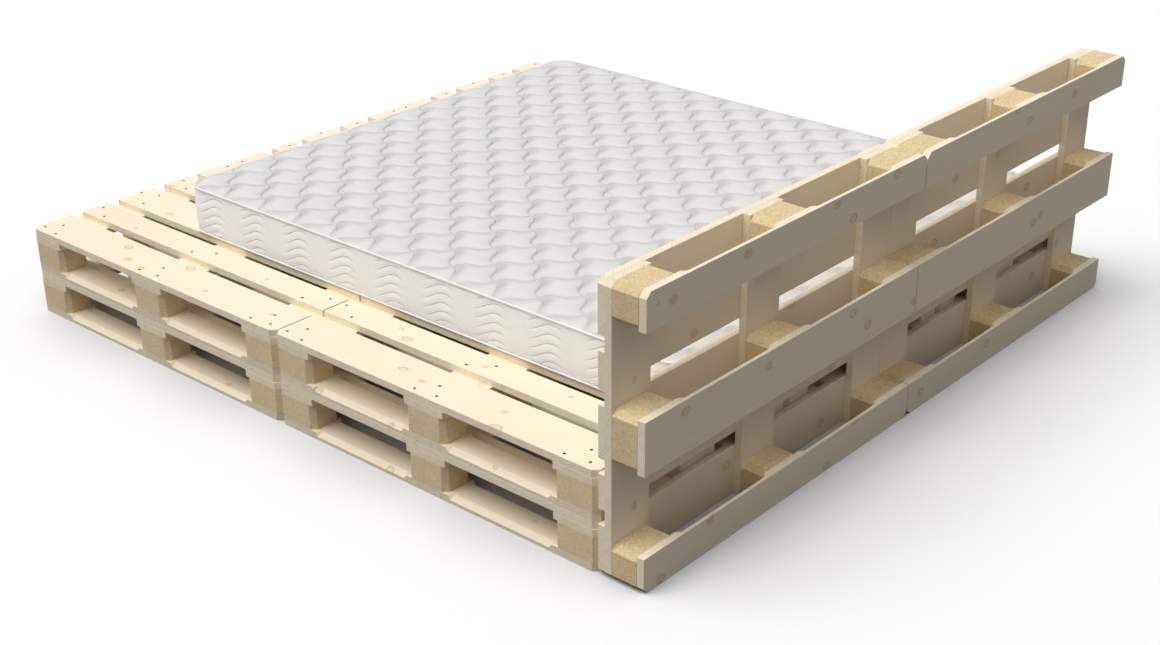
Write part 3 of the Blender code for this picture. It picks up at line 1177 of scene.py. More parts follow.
@dataclass
class PalletPatterns:
    """The boards, blocks and nail heads of a pallet, each modelled once about its own middle.

    On every outer board and corner block the pallet's outside is on the +Y side.
    """

    length: float = 1.200
    width: float = 0.800
    board_thick: float = 0.022
    block_height: float = 0.078
    wide: float = 0.145
    narrow: float = 0.100
    corner_cut: float = 0.016
    block_cut: float = 0.015
    arris: float = 0.0014
    bevel_across: float = 0.016
    bevel_deep: float = 0.012
    bevel_stop: float = 0.005
    bevel_run_out: float = 0.012
    seat_gap: float = 0.0003
    short_end: float = 0.0028
    shy: float = 0.0040
    nail_radius: float = 0.0046
    nail_proud: float = 0.0004
    nail_cap: float = 0.0016
    nail_bevel: float = 0.0004
    nail_sides: int = 10
    inner_row: float = 0.16375
    corner_reach: float = 0.020
    block_arris: float = 0.0012
    bevel_point: float = 0.02
    planed_from: float = 0.55
    end_from: float = 0.8
    made: dict = field(default_factory=dict)

    def height(self) -> float:
        """The height of the whole pallet."""
        return 3 * self.board_thick + self.block_height + self.seat_gap

    def board(self, name: str, length: float, width: float, outer: bool) -> Piece:
        """Shape one board.

        Args:
            name: Its pattern's name.
            length: Its length along the grain.
            width: Its width.
            outer: Whether it lies at the pallet's outside, where its corners are cut.

        Returns:
            The board.
        """
        piece = Bench.box(name, (length, width, self.board_thick))
        if outer:
            self.cut_corners(piece, width)
        return piece

    def cut_corners(self, piece: Piece, width: float) -> None:
        """Cut a board's two corners on its outer side.

        Args:
            piece: The board.
            width: Its width.
        """
        side = width / 2 - ON_PLANE

        def at_corner(a: Vector, b: Vector) -> bool:
            """Whether the edge from a to b stands upright on the outer side."""
            return a.y > side and b.y > side and abs(a.x - b.x) < ON_PLANE and abs(a.z - b.z) > ON_PLANE

        Bench.bevel(piece, self.corner_cut, 1, at_corner)

    def stopped_bevels(self, piece: Piece, width: float) -> None:
        """Bevel a bottom board's upper edges between its blocks, where a lifting truck's wheels pass.

        Args:
            piece: The board.
            width: Its width.
        """
        reach = self.length / 2
        spans = (
            (self.wide - reach + self.bevel_stop, -self.wide / 2 - self.bevel_stop),
            (self.wide / 2 + self.bevel_stop, reach - self.wide - self.bevel_stop),
        )
        for start, end in spans:
            for side in (-1, 1):
                Bench.carve(piece, self.bevel_tool(start, end, side * width / 2))

    def bevel_tool(self, start: float, end: float, edge: float) -> Piece:
        """A long bar of diamond section with pointed ends, lying along a board's upper edge.

        Args:
            start: Where the bevel starts along the board.
            end: Where it ends.
            edge: Where the board's edge is across it.

        Returns:
            The tool.
        """
        straight = end - start - 2 * self.bevel_run_out
        bpy.ops.object.select_all(action="DESELECT")
        bpy.ops.mesh.primitive_cylinder_add(
            vertices=4,
            radius=1.0,
            depth=straight,
            location=((start + end) / 2, edge, self.board_thick / 2),
            rotation=(0.0, math.pi / 2, 0.0),
        )
        bar = Bench.settle("bevel_tool")
        middle = Vector(((start + end) / 2, edge, self.board_thick / 2))
        for vertex in bar.data.vertices:
            off = vertex.co - middle
            vertex.co.y = middle.y + off.y * self.bevel_across
            vertex.co.z = middle.z + off.z * self.bevel_deep
        for out in (-1, 1):
            Bench.choose(bar, Pick.FACE, lambda _, normal: normal.x * out > 0.9)
            bpy.ops.mesh.extrude_region_move(
                TRANSFORM_OT_translate={"value": (out * self.bevel_run_out, 0.0, 0.0)}
            )
            bpy.ops.transform.resize(value=(1.0, self.bevel_point, self.bevel_point), center_override=middle)
            bpy.ops.object.mode_set(mode="OBJECT")
        return bar

    def block(self, name: str, width: float, cut_side: int) -> Piece:
        """Shape one chipboard block.

        Args:
            name: Its pattern's name.
            width: Its width across the pallet.
            cut_side: +1 or -1 for the end that has the pallet's corner on the +Y side, or 0.

        Returns:
            The block.
        """
        piece = Bench.box(name, (self.wide, width, self.block_height))

        def upright(a: Vector, b: Vector) -> bool:
            """Whether the edge from a to b stands upright."""
            return abs(a.z - b.z) > self.block_height / 2

        def at_corner(a: Vector, b: Vector) -> bool:
            """Whether the edge from a to b is the one at the pallet's corner."""
            return upright(a, b) and cut_side * a.x > self.wide / 2 - ON_PLANE and a.y > width / 2 - ON_PLANE

        if cut_side:
            Bench.bevel(piece, self.corner_cut, 1, at_corner)
        Bench.bevel(
            piece,
            self.block_cut,
            1,
            lambda a, b: upright(a, b) and not self.near_cut(a, cut_side, width),
        )
        Bench.ease(piece, self.block_arris, steps=2, over=40.0)
        return piece

    def near_cut(self, point: Vector, cut_side: int, width: float) -> bool:
        """Tell whether a point belongs to the pallet's cut corner.

        Args:
            point: The point, in its block.
            cut_side: +1 or -1 for the end that has the pallet's corner, or 0.
            width: The block's width.

        Returns:
            Whether it does.
        """
        off_x, off_y = self.wide / 2 - cut_side * point.x, width / 2 - point.y
        return bool(cut_side) and max(off_x, off_y) < self.corner_reach

    def nail_head(self) -> Piece:
        """Shape one nail head: a low cap that stands a little proud of the board.

        Returns:
            The head.
        """
        bpy.ops.object.select_all(action="DESELECT")
        bpy.ops.mesh.primitive_cylinder_add(
            vertices=self.nail_sides,
            radius=self.nail_radius,
            depth=self.nail_cap,
            location=(0.0, 0.0, self.nail_proud - self.nail_cap / 2),
        )
        head = Bench.settle("nail_head")
        top = self.nail_proud - SAME_POINT
        Bench.bevel(head, self.nail_bevel, 1, lambda a, b: a.z > top and b.z > top)
        return head

    def mark_grain(self, piece: Piece) -> None:
        """Keep on a board's mesh where each point lies in it and how each face was cut.

        Args:
            piece: The board.
        """
        Bench.write(piece, "grain_place", Bench.points(piece))
        kinds = []
        for face in piece.data.polygons:
            normal = face.normal
            if abs(normal.z) > self.planed_from:
                kinds.append(CutFace.PLANED.value)
            elif abs(normal.x) > self.end_from:
                kinds.append(CutFace.END_GRAIN.value)
            else:
                kinds.append(CutFace.SAWN.value)
        Bench.write(piece, "cut_face", np.array(kinds), "FACE")

    def model(self) -> None:
        """Model every pattern once."""
        boards = {
            "outer_deck_board": (self.length - self.shy, self.wide, True),
            "narrow_deck_board": (self.length - 2 * self.short_end, self.narrow, False),
            "centre_deck_board": (self.length - 2 * self.short_end, self.wide, False),
            "outer_stringer": (self.width, self.wide, True),
            "centre_stringer": (self.width, self.wide, False),
            "outer_bottom_board": (self.length - self.shy, self.narrow, True),
            "centre_bottom_board": (self.length - self.short_end, self.wide, False),
        }
        for name, (length, width, outer) in boards.items():
            piece = self.board(name, length, width, outer)
            if name.endswith("bottom_board"):
                self.stopped_bevels(piece, width)
            Bench.ease(piece, self.arris, steps=2, over=60.0)
            self.mark_grain(piece)
            self.made[name] = piece
        blocks = {
            "corner_block": (self.narrow, 1),
            "other_corner_block": (self.narrow, -1),
            "side_block": (self.narrow, 0),
            "centre_block": (self.wide, 0),
        }
        for name, (width, cut_side) in blocks.items():
            self.made[name] = self.block(name, width, cut_side)
        self.made["nail_head"] = self.nail_head()
        for name, piece in self.made.items():
            log.info("pattern %s: %d faces", name, len(piece.data.polygons))

    def discard(self) -> None:
        """Remove the patterns once every pallet is made."""
        for piece in self.made.values():
            bpy.data.objects.remove(piece, do_unlink=True)
        self.made.clear()

    def deck_seats(self) -> list:
        """Where the five deck boards lie, from the -across side.

        Returns:
            The list of seats.
        """
        level = self.height() - self.board_thick / 2
        outer = (self.width - self.wide) / 2
        return [
            Seat("outer_deck_board", (0, -outer, level), math.pi),
            Seat("narrow_deck_board", (0, -self.inner_row, level)),
            Seat("centre_deck_board", (0, 0, level)),
            Seat("narrow_deck_board", (0, self.inner_row, level), math.pi),
            Seat("outer_deck_board", (0, outer, level)),
        ]

    def stringer_seats(self) -> list:
        """Where the three stringers lie under the deck boards.

        Returns:
            The list of seats.
        """
        level = self.height() - 1.5 * self.board_thick
        outer = (self.length - self.wide) / 2
        return [
            Seat("outer_stringer", (-outer, 0, level), math.pi / 2),
            Seat("centre_stringer", (0, 0, level), math.pi / 2),
            Seat("outer_stringer", (outer, 0, level), -math.pi / 2),
        ]

    def bottom_seats(self) -> list:
        """Where the three bottom boards lie.

        Returns:
            The list of seats.
        """
        level = self.board_thick / 2
        outer = (self.width - self.narrow) / 2
        return [
            Seat("outer_bottom_board", (0, -outer, level), math.pi),
            Seat("centre_bottom_board", (0, 0, level)),
            Seat("outer_bottom_board", (0, outer, level)),
        ]

    def block_seats(self) -> list:
        """Where the nine blocks stand on the bottom boards.

        Returns:
            The list of seats.
        """
        level = self.board_thick + self.block_height / 2
        along = (self.length - self.wide) / 2
        across = (self.width - self.narrow) / 2
        return [
            Seat("corner_block", (along, across, level)),
            Seat("other_corner_block", (-along, across, level)),
            Seat("corner_block", (-along, -across, level), math.pi),
            Seat("other_corner_block", (along, -across, level), math.pi),
            Seat("side_block", (0, across, level)),
            Seat("side_block", (0, -across, level), math.pi),
            Seat("centre_block", (-along, 0, level)),
            Seat("centre_block", (0, 0, level)),
            Seat("centre_block", (along, 0, level)),
        ]

    def nail_places(self) -> list:
        """Where the deck's nails are driven, on the pallet.

        Returns:
            Pairs of along and across.
        """
        outer = (self.length - self.wide) / 2
        wide_right = ((-0.049, -0.054), (-0.008, 0.001), (0.028, -0.045))
        wide_left = ((-0.046, -0.042), (-0.010, 0.003), (0.031, -0.053))
        centre_left = ((-0.061, 0.016), (0.006, 0.037), (0.025, -0.040))
        centre_right = ((-0.047, -0.038), (-0.004, 0.032), (0.052, -0.014))
        narrow_right = ((-0.043, -0.029), (0.026, 0.015))
        narrow_left = ((-0.046, 0.016), (0.023, -0.028))
        layout = {
            -outer: (wide_left, narrow_left, centre_left, narrow_left, wide_left),
            0.0: (wide_right, narrow_right, centre_right, narrow_right, wide_right),
            outer: (wide_right, narrow_right, centre_right, narrow_right, wide_right),
        }
        places = []
        for stringer, rows in layout.items():
            for seat, offsets in zip(self.deck_seats(), rows):
                side = -1 if seat.centre[1] > 0.2 else 1
                places += [(stringer + u, seat.centre[1] + side * v) for u, v in offsets]
        return places


@dataclass
class Pallet:
    """One pallet, flat in the base or on edge in the headboard."""

    name: str
    stance: Stance
    patterns: PalletPatterns
    finishes: Finishes
    dice: random.Random
    board_reach: float = 0.58
    stringer_reach: float = 0.39
    wide_reach: float = 0.066
    narrow_reach: float = 0.046
    knot_counts: tuple = (1, 2, 2, 3, 4)
    knot_radii: tuple = (0.0055, 0.0105)
    heart_across: float = 0.09
    heart_deep: tuple = (0.03, 0.16)
    grain_seeds: float = 90
    # Painted shade: the base pallets' bottom boards, under the deck, are made this much darker.
    bottom_painted_shade: float = 0.91
    tones: tuple = (0.975, 1.015)
    nail_stray: float = 0.002

    def carrier(self) -> Matrix:
        """Where the pallet's own frame is, read from its solids.

        Returns:
            The place, with the pallet's length along X, width along Y and deck at +Z before it.
        """
        deck_low, deck_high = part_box(self.name + "_deck")
        middle = (deck_low + deck_high) / 2
        left_low, left_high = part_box(self.name + "_runner_left")
        if self.stance is Stance.FLAT:
            origin = Vector((middle.x, middle.y, left_low.z))
            return Matrix.Translation(origin) @ Matrix.Rotation(math.pi / 2, 4, "Z")
        origin = Vector((middle.x, left_high.y, middle.z))
        return Matrix.Translation(origin) @ Matrix.Rotation(math.pi / 2, 4, "X")

    def lay(self, seat: Seat, number: int) -> Piece:
        """Put a copy of a pattern in its seat.

        Args:
            seat: Where it goes.
            number: Its number among its kind.

        Returns:
            The copy, in the pallet's own frame.
        """
        return Bench.twin(self.patterns.made[seat.pattern], f"{self.name}_part{number}", seat.matrix())

    def vary(self, board: Piece, seat: Seat, marked: list) -> None:
        """Give a board its own grain, colour and knots, with painted shade on the base pallets' bottom
        boards.

        Args:
            board: The board, in the pallet's frame.
            seat: Where it lies.
            marked: Knots that it has; where there are none, some are drawn by lot.
        """
        half_length = self.stringer_reach if "stringer" in seat.pattern else self.board_reach
        slim = seat.pattern.startswith(("narrow", "outer_bottom"))
        half_width = self.narrow_reach if slim else self.wide_reach
        to_board = seat.matrix().inverted()
        rows = []
        for knot in marked:
            place = to_board @ Vector((knot.along, knot.across, seat.centre[2]))
            rows.append((place.x, place.y, knot.radius))
        if not rows:
            for _ in range(self.dice.choice(self.knot_counts)):
                along = self.dice.uniform(-half_length, half_length)
                across = self.dice.uniform(-half_width, half_width)
                rows.append((along, across, self.dice.uniform(*self.knot_radii)))
        rows += [NO_KNOT] * (KNOTS_PER_BOARD - len(rows))
        for number, row in enumerate(rows, 1):
            Bench.mark(board, f"knot_{number}", row)
        heart_side = self.dice.choice((-1, 1))
        heart_at = self.dice.uniform(-self.heart_across, self.heart_across)
        Bench.mark(board, "board_heart", (0.0, heart_at, heart_side * self.dice.uniform(*self.heart_deep)))
        Bench.mark(board, "grain_seed", self.dice.uniform(0, self.grain_seeds))
        # Painted shade: the base pallets' bottom boards are made darker, as the shade under the deck would
        # make them.
        painted_shade_level = self.bottom_painted_shade if self.stance is Stance.FLAT and "bottom" in seat.pattern else 1.0
        Bench.mark(board, "board_tone_and_shade", painted_shade_level * self.dice.uniform(*self.tones))

    def boards(self, kind: str, seats: list) -> Piece:
        """Lay one kind of board and join the boards.

        Args:
            kind: deck, stringer or bottom.
            seats: Where they lie.

        Returns:
            The joined boards, in the pallet's own frame.
        """
        parts = []
        for number, seat in enumerate(seats):
            board = self.lay(seat, number)
            self.vary(board, seat, KNOT_PLACES.get((self.name, kind, number), []))
            parts.append(board)
        return Bench.join(self.name + "_" + kind, parts)

    def nails(self) -> Piece:
        """Drive the deck's nails.

        Returns:
            All the nail heads as one piece, in the pallet's own frame.
        """
        top = self.patterns.height()
        head = self.patterns.made["nail_head"]
        parts = []
        for number, (along, across) in enumerate(self.patterns.nail_places()):
            shift_along = self.dice.uniform(-self.nail_stray, self.nail_stray)
            shift_across = self.dice.uniform(-self.nail_stray, self.nail_stray)
            place = Matrix.Translation((along + shift_along, across + shift_across, top))
            parts.append(Bench.twin(head, f"{self.name}_nail{number}", place))
        return Bench.join(self.name + "_nails", parts)

    def build(self) -> None:
        """Build the pallet's boards, blocks and nails, move them to their place and dress them."""
        carrier = self.carrier()
        deck_node = (self.name + "_deck",)
        runner_nodes = tuple(f"{self.name}_runner_{side}" for side in ("left", "centre", "right"))
        timber = self.finishes.timber
        patterns = self.patterns
        deck = self.boards("deck", patterns.deck_seats())
        deck.name = self.name + "_deck_boards"
        stringers = self.boards("stringer", patterns.stringer_seats())
        stringers.name = self.name + "_stringers"
        bottom = self.boards("bottom", patterns.bottom_seats())
        bottom.name = self.name + "_bottom_boards"
        blocks = [self.lay(seat, number) for number, seat in enumerate(patterns.block_seats())]
        blocks = Bench.join(self.name + "_blocks", blocks)
        # The base pallets' blocks are marked to come out paler.
        Bench.mark(blocks, "block_on_base", 1.0 if self.stance is Stance.FLAT else 0.0)
        rows = (
            (deck, timber, "pallet_timber", deck_node),
            (stringers, timber, "pallet_timber", deck_node),
            (bottom, timber, "pallet_timber", runner_nodes),
            (blocks, self.finishes.chipboard, "block_chipboard", runner_nodes),
            (self.nails(), self.finishes.steel, "nail_steel", ()),
        )
        for piece, finish, slot, nodes in rows:
            piece.data.transform(carrier)
            dress(piece, finish, PALLET_BODY, nodes)


@dataclass(frozen=True)
class Outline:
    """The mattress's outline in plan: a rectangle with round corners."""

    low: tuple
    high: tuple
    radius: float

    def length(self, inset: float = 0.0) -> float:
        """The distance once round, drawn in by inset."""
        width, depth, radius = self.measures(inset)
        return 2 * (width + depth) + math.tau * radius

    def measures(self, inset: float) -> tuple:
        """Measure the outline, drawn in evenly.

        Args:
            inset: How far it is drawn in.

        Returns:
            The straight lengths of its sides along X and along Y, and its corner radius.
        """
        radius = self.radius - inset
        width = self.high[0] - self.low[0] - 2 * self.radius
        depth = self.high[1] - self.low[1] - 2 * self.radius
        return width, depth, radius

    def walk(self, share: np.ndarray, inset: np.ndarray) -> np.ndarray:
        """Points on the outline.

        Args:
            share: How far round, from 0 to 1, starting behind the headboard and turning to -X.
            inset: How far each point is drawn in.

        Returns:
            An array of x and y.
        """
        width, depth, radius = self.measures(0.0)
        arc = radius * math.pi / 2
        middle = (np.array(self.low[:2]) + np.array(self.high[:2])) / 2
        walked = (share % 1.0) * self.length() + width / 2
        result = np.zeros((len(share), 2))
        sides = ((width, 1.0), (depth, 2.0), (width, 3.0), (depth, 4.0), (width, 5.0))
        start = 0.0
        for straight, quarter in sides:
            angle = quarter * math.pi / 2
            out = np.array((math.cos(angle), math.sin(angle)))
            forward = np.array((-math.sin(angle), math.cos(angle)))
            half_out = (width if quarter % 2 == 0 else depth) / 2
            half_run = straight / 2
            on_side = (walked >= start - 1e-9) & (walked <= start + straight + 1e-9)
            run = (walked - start - half_run)[on_side, None]
            reach = (half_out + radius - inset)[on_side, None]
            result[on_side] = out * reach + forward * run
            start += straight
            on_arc = (walked > start) & (walked < start + arc)
            turned = ((walked - start) / radius + angle)[on_arc]
            spread = np.stack((np.cos(turned), np.sin(turned)), 1) * (radius - inset)[on_arc, None]
            result[on_arc] = out * half_out + forward * half_run + spread
            start += arc
        return result + middle

    def depth_inside(self, x: np.ndarray, y: np.ndarray) -> np.ndarray:
        """Measure how far inside the outline points lie.

        Args:
            x: Their places along X.
            y: Their places along Y.

        Returns:
            The depths, below 0 outside.
        """
        middle_x, middle_y = (self.low[0] + self.high[0]) / 2, (self.low[1] + self.high[1]) / 2
        half_x = (self.high[0] - self.low[0]) / 2 - self.radius
        half_y = (self.high[1] - self.low[1]) / 2 - self.radius
        over_x = np.abs(x - middle_x) - half_x
        over_y = np.abs(y - middle_y) - half_y
        outside = np.hypot(np.maximum(over_x, 0), np.maximum(over_y, 0))
        inside = np.minimum(np.maximum(over_x, over_y), 0)
        return self.radius - outside - inside


@dataclass(frozen=True)
class QuiltPattern:
    """Two families of swaying seams that cross at an angle and leave pillows between them."""

    crossing: tuple = (0.7195, 0.1713)
    step_x: float = 0.08375
    step_y: float = 0.0825
    sway: float = 0.082
    marks: tuple = (0.0, 0.022, 0.048, 0.080, 0.122, 0.180, 0.270, 0.385, 0.5)
    rounds: int = 40
    pillow_reach: float = 0.046
    pillow_round: float = 0.62

    def spacing(self) -> float:
        """The distance between neighbouring seams."""
        return 2 * self.step_x * self.step_y / math.hypot(self.step_x, self.step_y)

    def stations(self, cells: int) -> np.ndarray:
        """Say where the mesh's lines lie, closer together at the seams.

        Args:
            cells: How many cells there are on each side of the middle.

        Returns:
            The lines' places, in cells.
        """
        half = list(self.marks)
        whole = half + [1.0 - mark for mark in reversed(half[:-1])]
        steps = [cell + mark for cell in range(-cells, cells) for mark in whole[:-1]]
        return np.array(steps + [float(cells)])

    def lay_out(self, first: np.ndarray, second: np.ndarray) -> tuple:
        """Plan places of points given by how many seams of each family lie before them.

        Args:
            first: Seams counted across the first family.
            second: Seams counted across the second family.

        Returns:
            Arrays of x and y.
        """
        s, t = first.copy(), second.copy()
        for _ in range(self.rounds):
            s = first - self.sway * np.sin(math.tau * t)
            t = second + self.sway * np.sin(math.tau * s)
        x = self.crossing[0] + self.step_x * (s - t)
        y = self.crossing[1] + self.step_y * (s + t)
        return x, y

    def count(self, x: np.ndarray, y: np.ndarray) -> tuple:
        """Count the seams that lie before plan places, the reverse of lay_out.

        Args:
            x: The places along X.
            y: The places along Y.

        Returns:
            Arrays of the seams counted across the first family and across the second.
        """
        plus = (x - self.crossing[0]) / self.step_x
        minus = (y - self.crossing[1]) / self.step_y
        s, t = (plus + minus) / 2, (minus - plus) / 2
        return s + self.sway * np.sin(math.tau * t), t - self.sway * np.sin(math.tau * s)

    def pillows(self, first: np.ndarray, second: np.ndarray) -> np.ndarray:
        """Shape the pillows.

        Args:
            first: Seams counted across the first family.
            second: Seams counted across the second family.

        Returns:
            The share of their height, 0 on a seam and 1 in a pillow's middle.
        """
        rise = 1.0
        for counted in (first, second):
            away = np.abs(counted - np.rint(counted)) * self.spacing()
            share = np.minimum(away / self.pillow_reach, 1.0)
            rise = rise * (1 - (1 - share) ** 2) ** self.pillow_round
        return rise


@dataclass
class Mattress:
    """A foam mattress in a quilted cover: core, top and bottom panels, border and two lines of piping."""

    finishes: Finishes
    quilt: QuiltPattern = field(default_factory=QuiltPattern)
    radius: float = 0.070
    quilt_rise: float = 0.0100
    crown: float = 0.006
    edge_drop: float = 0.0055
    edge_reach: float = 0.014
    fade_reach: float = 0.045
    border_thick: float = 0.012
    draw_in: float = 0.004
    wave_length: float = 0.200
    wave_crest: float = 0.090
    wave_relief: float = 0.0016
    piping_radius: float = 0.0036
    lower_radius: float = 0.0027
    piping_sides: int = 10
    piping_columns: int = 560
    upper_seat: tuple = (0.0032, 0.0006)
    lower_seat: tuple = (-0.0030, -0.0015)
    round_steps: int = 7
    trim_inset: float = 0.001
    sheet_cells: int = 20
    sheet_margin: float = 0.03
    hem: float = 0.0004
    top_edge: float = 0.008
    calm_edge: float = 0.004
    unrest: float = 0.12
    bottom_marks: tuple = (0.0, 0.04, 0.11, 0.24, 0.5)
    bottom_pressing: float = 1.5
    bottom_levels: tuple = (0.0001, 0.0030, 0.0035)
    border_columns: int = 640
    border_rows: int = 54
    border_calm: float = 0.12
    core_play: float = 0.0006
    core_inset: float = 0.016
    core_ease: float = 0.003
    core_round_steps: int = 8

    def outline(self) -> Outline:
        """The outline in plan, read from the border's solid."""
        low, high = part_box("mattress_border")
        return Outline(tuple(low), tuple(high), self.radius)

    def trim(self, panel: Piece) -> None:
        """Cut a panel to the mattress's outline, one straight cut after another.

        Args:
            panel: The sheet to cut.
        """
        outline = self.outline()
        cuts = []
        step = math.pi / 2 / self.round_steps
        middle = (Vector(outline.low) + Vector(outline.high)) / 2
        half_x = (outline.high[0] - outline.low[0]) / 2 - self.radius
        half_y = (outline.high[1] - outline.low[1]) / 2 - self.radius
        for number in range(4 * self.round_steps):
            angle = number * step
            out = Vector((math.cos(angle), math.sin(angle), 0.0))
            side_x = 1 if out.x > -1e-6 else -1
            side_y = 1 if out.y > -1e-6 else -1
            corner = middle + Vector((side_x * half_x, side_y * half_y, 0.0))
            cuts.append((corner + out * (self.radius - self.trim_inset), out))
        Bench.activate(panel)
        bpy.ops.object.mode_set(mode="EDIT")
        bpy.ops.mesh.select_mode(type="FACE")
        for place, out in cuts:
            bpy.ops.mesh.select_all(action="SELECT")
            bpy.ops.mesh.bisect(plane_co=place, plane_no=out, clear_outer=True)
        bpy.ops.object.mode_set(mode="OBJECT")

    def quilted_sheet(self, name: str, quilt: QuiltPattern) -> Piece:
        """A flat sheet whose mesh follows the quilting seams, cut to the outline.

        Args:
            name: The piece's name.
            quilt: The seams' pattern.

        Returns:
            The sheet, at height 0.
        """
        outline = self.outline()
        stations = quilt.stations(self.sheet_cells)
        lines = len(stations) - 1
        bpy.ops.object.select_all(action="DESELECT")
        bpy.ops.mesh.primitive_grid_add(x_subdivisions=lines, y_subdivisions=lines, size=1.0)
        sheet = Bench.settle(name)
        flat = Bench.points(sheet)
        first = stations[np.rint((flat[:, 0] + 0.5) * lines).astype(int)]
        second = stations[np.rint((flat[:, 1] + 0.5) * lines).astype(int)]
        x, y = quilt.lay_out(first, second)
        Bench.set_points(sheet, np.stack((x, y, np.zeros_like(x)), 1))
        outside = outline.depth_inside(x, y) < -self.sheet_margin
        bpy.ops.object.mode_set(mode="EDIT")
        bpy.ops.mesh.select_mode(type="VERT")
        bpy.ops.mesh.select_all(action="DESELECT")
        bpy.ops.object.mode_set(mode="OBJECT")
        sheet.data.vertices.foreach_set("select", outside)
        bpy.ops.object.mode_set(mode="EDIT")
        bpy.ops.mesh.delete(type="VERT")
        bpy.ops.object.mode_set(mode="OBJECT")
        self.trim(sheet)
        return sheet

    def mark_seams(self, panel: Piece, quilt: QuiltPattern) -> None:
        """Keep on a panel's mesh its cloth coordinates and how many seams lie before each point.

        Args:
            panel: The shaped sheet.
            quilt: The seams' pattern.
        """
        places = Bench.points(panel)
        first, second = quilt.count(places[:, 0], places[:, 1])
        Bench.write(panel, "seam_place", np.stack((first, second, np.zeros_like(first)), 1))
        Bench.write(panel, "cloth_place", places * (1.0, 1.0, 0.0))

    def close_panel(self, panel: Piece, level: float) -> None:
        """Turn a sheet's edge to a level and close it there with a flat face.

        Args:
            panel: The shaped sheet.
            level: The height of the flat side.
        """
        Bench.activate(panel)
        bpy.ops.object.mode_set(mode="EDIT")
        bpy.ops.mesh.select_mode(type="EDGE")
        bpy.ops.mesh.select_all(action="DESELECT")
        bpy.ops.mesh.select_non_manifold()
        bpy.ops.mesh.extrude_region_move(TRANSFORM_OT_translate={"value": (0.0, 0.0, 0.0)})
        bpy.ops.object.mode_set(mode="OBJECT")
        chosen = np.empty(len(panel.data.vertices), dtype=bool)
        panel.data.vertices.foreach_get("select", chosen)
        places = Bench.points(panel)
        places[chosen, 2] = level
        Bench.set_points(panel, places)
        bpy.ops.object.mode_set(mode="EDIT")
        bpy.ops.mesh.edge_face_add()
        bpy.ops.mesh.select_all(action="SELECT")
        bpy.ops.mesh.normals_make_consistent(inside=False)
        bpy.ops.object.mode_set(mode="OBJECT")

    def top_panel(self) -> None:
        """The quilted top: crowned, with pillows between swaying seams, rolled down at its edge."""
        low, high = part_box("mattress_top_panel")
        outline = self.outline()
        edge_level = low.z + self.top_edge
        panel = self.quilted_sheet("mattress_quilted_top", self.quilt)
        places = Bench.points(panel)
        x, y = places[:, 0], places[:, 1]
        inside = np.maximum(outline.depth_inside(x, y), 0.0)
        pillows = self.quilt.pillows(*self.quilt.count(x, y))
        share_x = (2 * x - low.x - high.x) / (high.x - low.x)
        share_y = (2 * y - low.y - high.y) / (high.y - low.y)
        crown = self.crown * (1 - share_x**4) * (1 - share_y**4)
        fade = smooth_step(np.clip((inside - self.calm_edge) / self.fade_reach, 0, 1))
        roll = np.clip(1 - inside / self.edge_reach, 0, 1) ** 2
        swing = np.sin(9.1 * x + 4.3 * y) * np.sin(6.7 * y - 3.9 * x)
        rise = self.quilt_rise * (1 + self.unrest * swing)
        places[:, 2] = edge_level + crown + rise * pillows * fade - self.edge_drop * roll
        Bench.set_points(panel, places)
        self.close_panel(panel, low.z + self.hem)
        self.mark_seams(panel, self.quilt)
        Bench.smooth(panel, angle=55.0)
        dress(panel, self.finishes.quilting, MATTRESS_BODY, ("mattress_top_panel",))

    def bottom_panel(self) -> None:
        """The flatter quilted bottom, whose pillows are pressed against the boards."""
        low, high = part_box("mattress_bottom_panel")
        quilt = QuiltPattern(marks=self.bottom_marks)
        rest, seam_rise, roll_rise = self.bottom_levels
        outline = self.outline()
        panel = self.quilted_sheet("mattress_quilted_bottom", quilt)
        places = Bench.points(panel)
        x, y = places[:, 0], places[:, 1]
        inside = np.maximum(outline.depth_inside(x, y), 0.0)
        pillows = quilt.pillows(*quilt.count(x, y))
        roll = np.clip(1 - inside / self.edge_reach, 0, 1) ** 2
        pressed = np.minimum(pillows * self.bottom_pressing, 1.0)
        places[:, 2] = low.z + rest + seam_rise * (1 - pressed) * (1 - roll) + roll_rise * roll
        Bench.set_points(panel, places)
        self.close_panel(panel, high.z - self.hem)
        self.mark_seams(panel, quilt)
        Bench.smooth(panel, angle=55.0)
        dress(panel, self.finishes.quilting, MATTRESS_BODY, ("mattress_bottom_panel",))

    def border(self) -> None:
        """The quilted border: a band round the sides with rows of waves, drawn in at both edges."""
        low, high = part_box("mattress_border")
        outline = self.outline()
        around = outline.length()
        columns, rows = self.border_columns, self.border_rows
        tall = high.z - low.z

        def place(column: np.ndarray, row: np.ndarray) -> np.ndarray:
            """Where the band's points are.

            Args:
                column: Each point's column.
                row: Each point's row: up the outside first, then down the back.

            Returns:
                The places.
            """
            share = column / columns
            height = np.clip(row / rows, 0, 1)
            level = low.z + height * tall
            phase = (level - low.z - self.wave(share, around)) / WAVE_SPACING
            sunk = 1 - np.abs(np.sin(math.pi * phase))
            calm = np.clip(np.minimum(height, 1 - height) / self.border_calm, 0, 1)
            calm = calm * self.tightness(share, around)
            inset = self.draw_in * (2 * height - 1) ** 2 + self.wave_relief * sunk * calm + self.hem
            inset = np.where(row > rows, self.border_thick + self.draw_in, inset)
            level = np.where(row == rows + 1, high.z, level)
            level = np.where(row >= rows + 2, low.z, level)
            inset = np.where(row == rows + 3, self.draw_in + self.hem, inset)
            return np.column_stack((outline.walk(share, inset), level))

        def rising(row: np.ndarray) -> np.ndarray:
            """How high points of these rows are above the band's lower edge."""
            return np.clip(row / rows, 0, 1) * tall

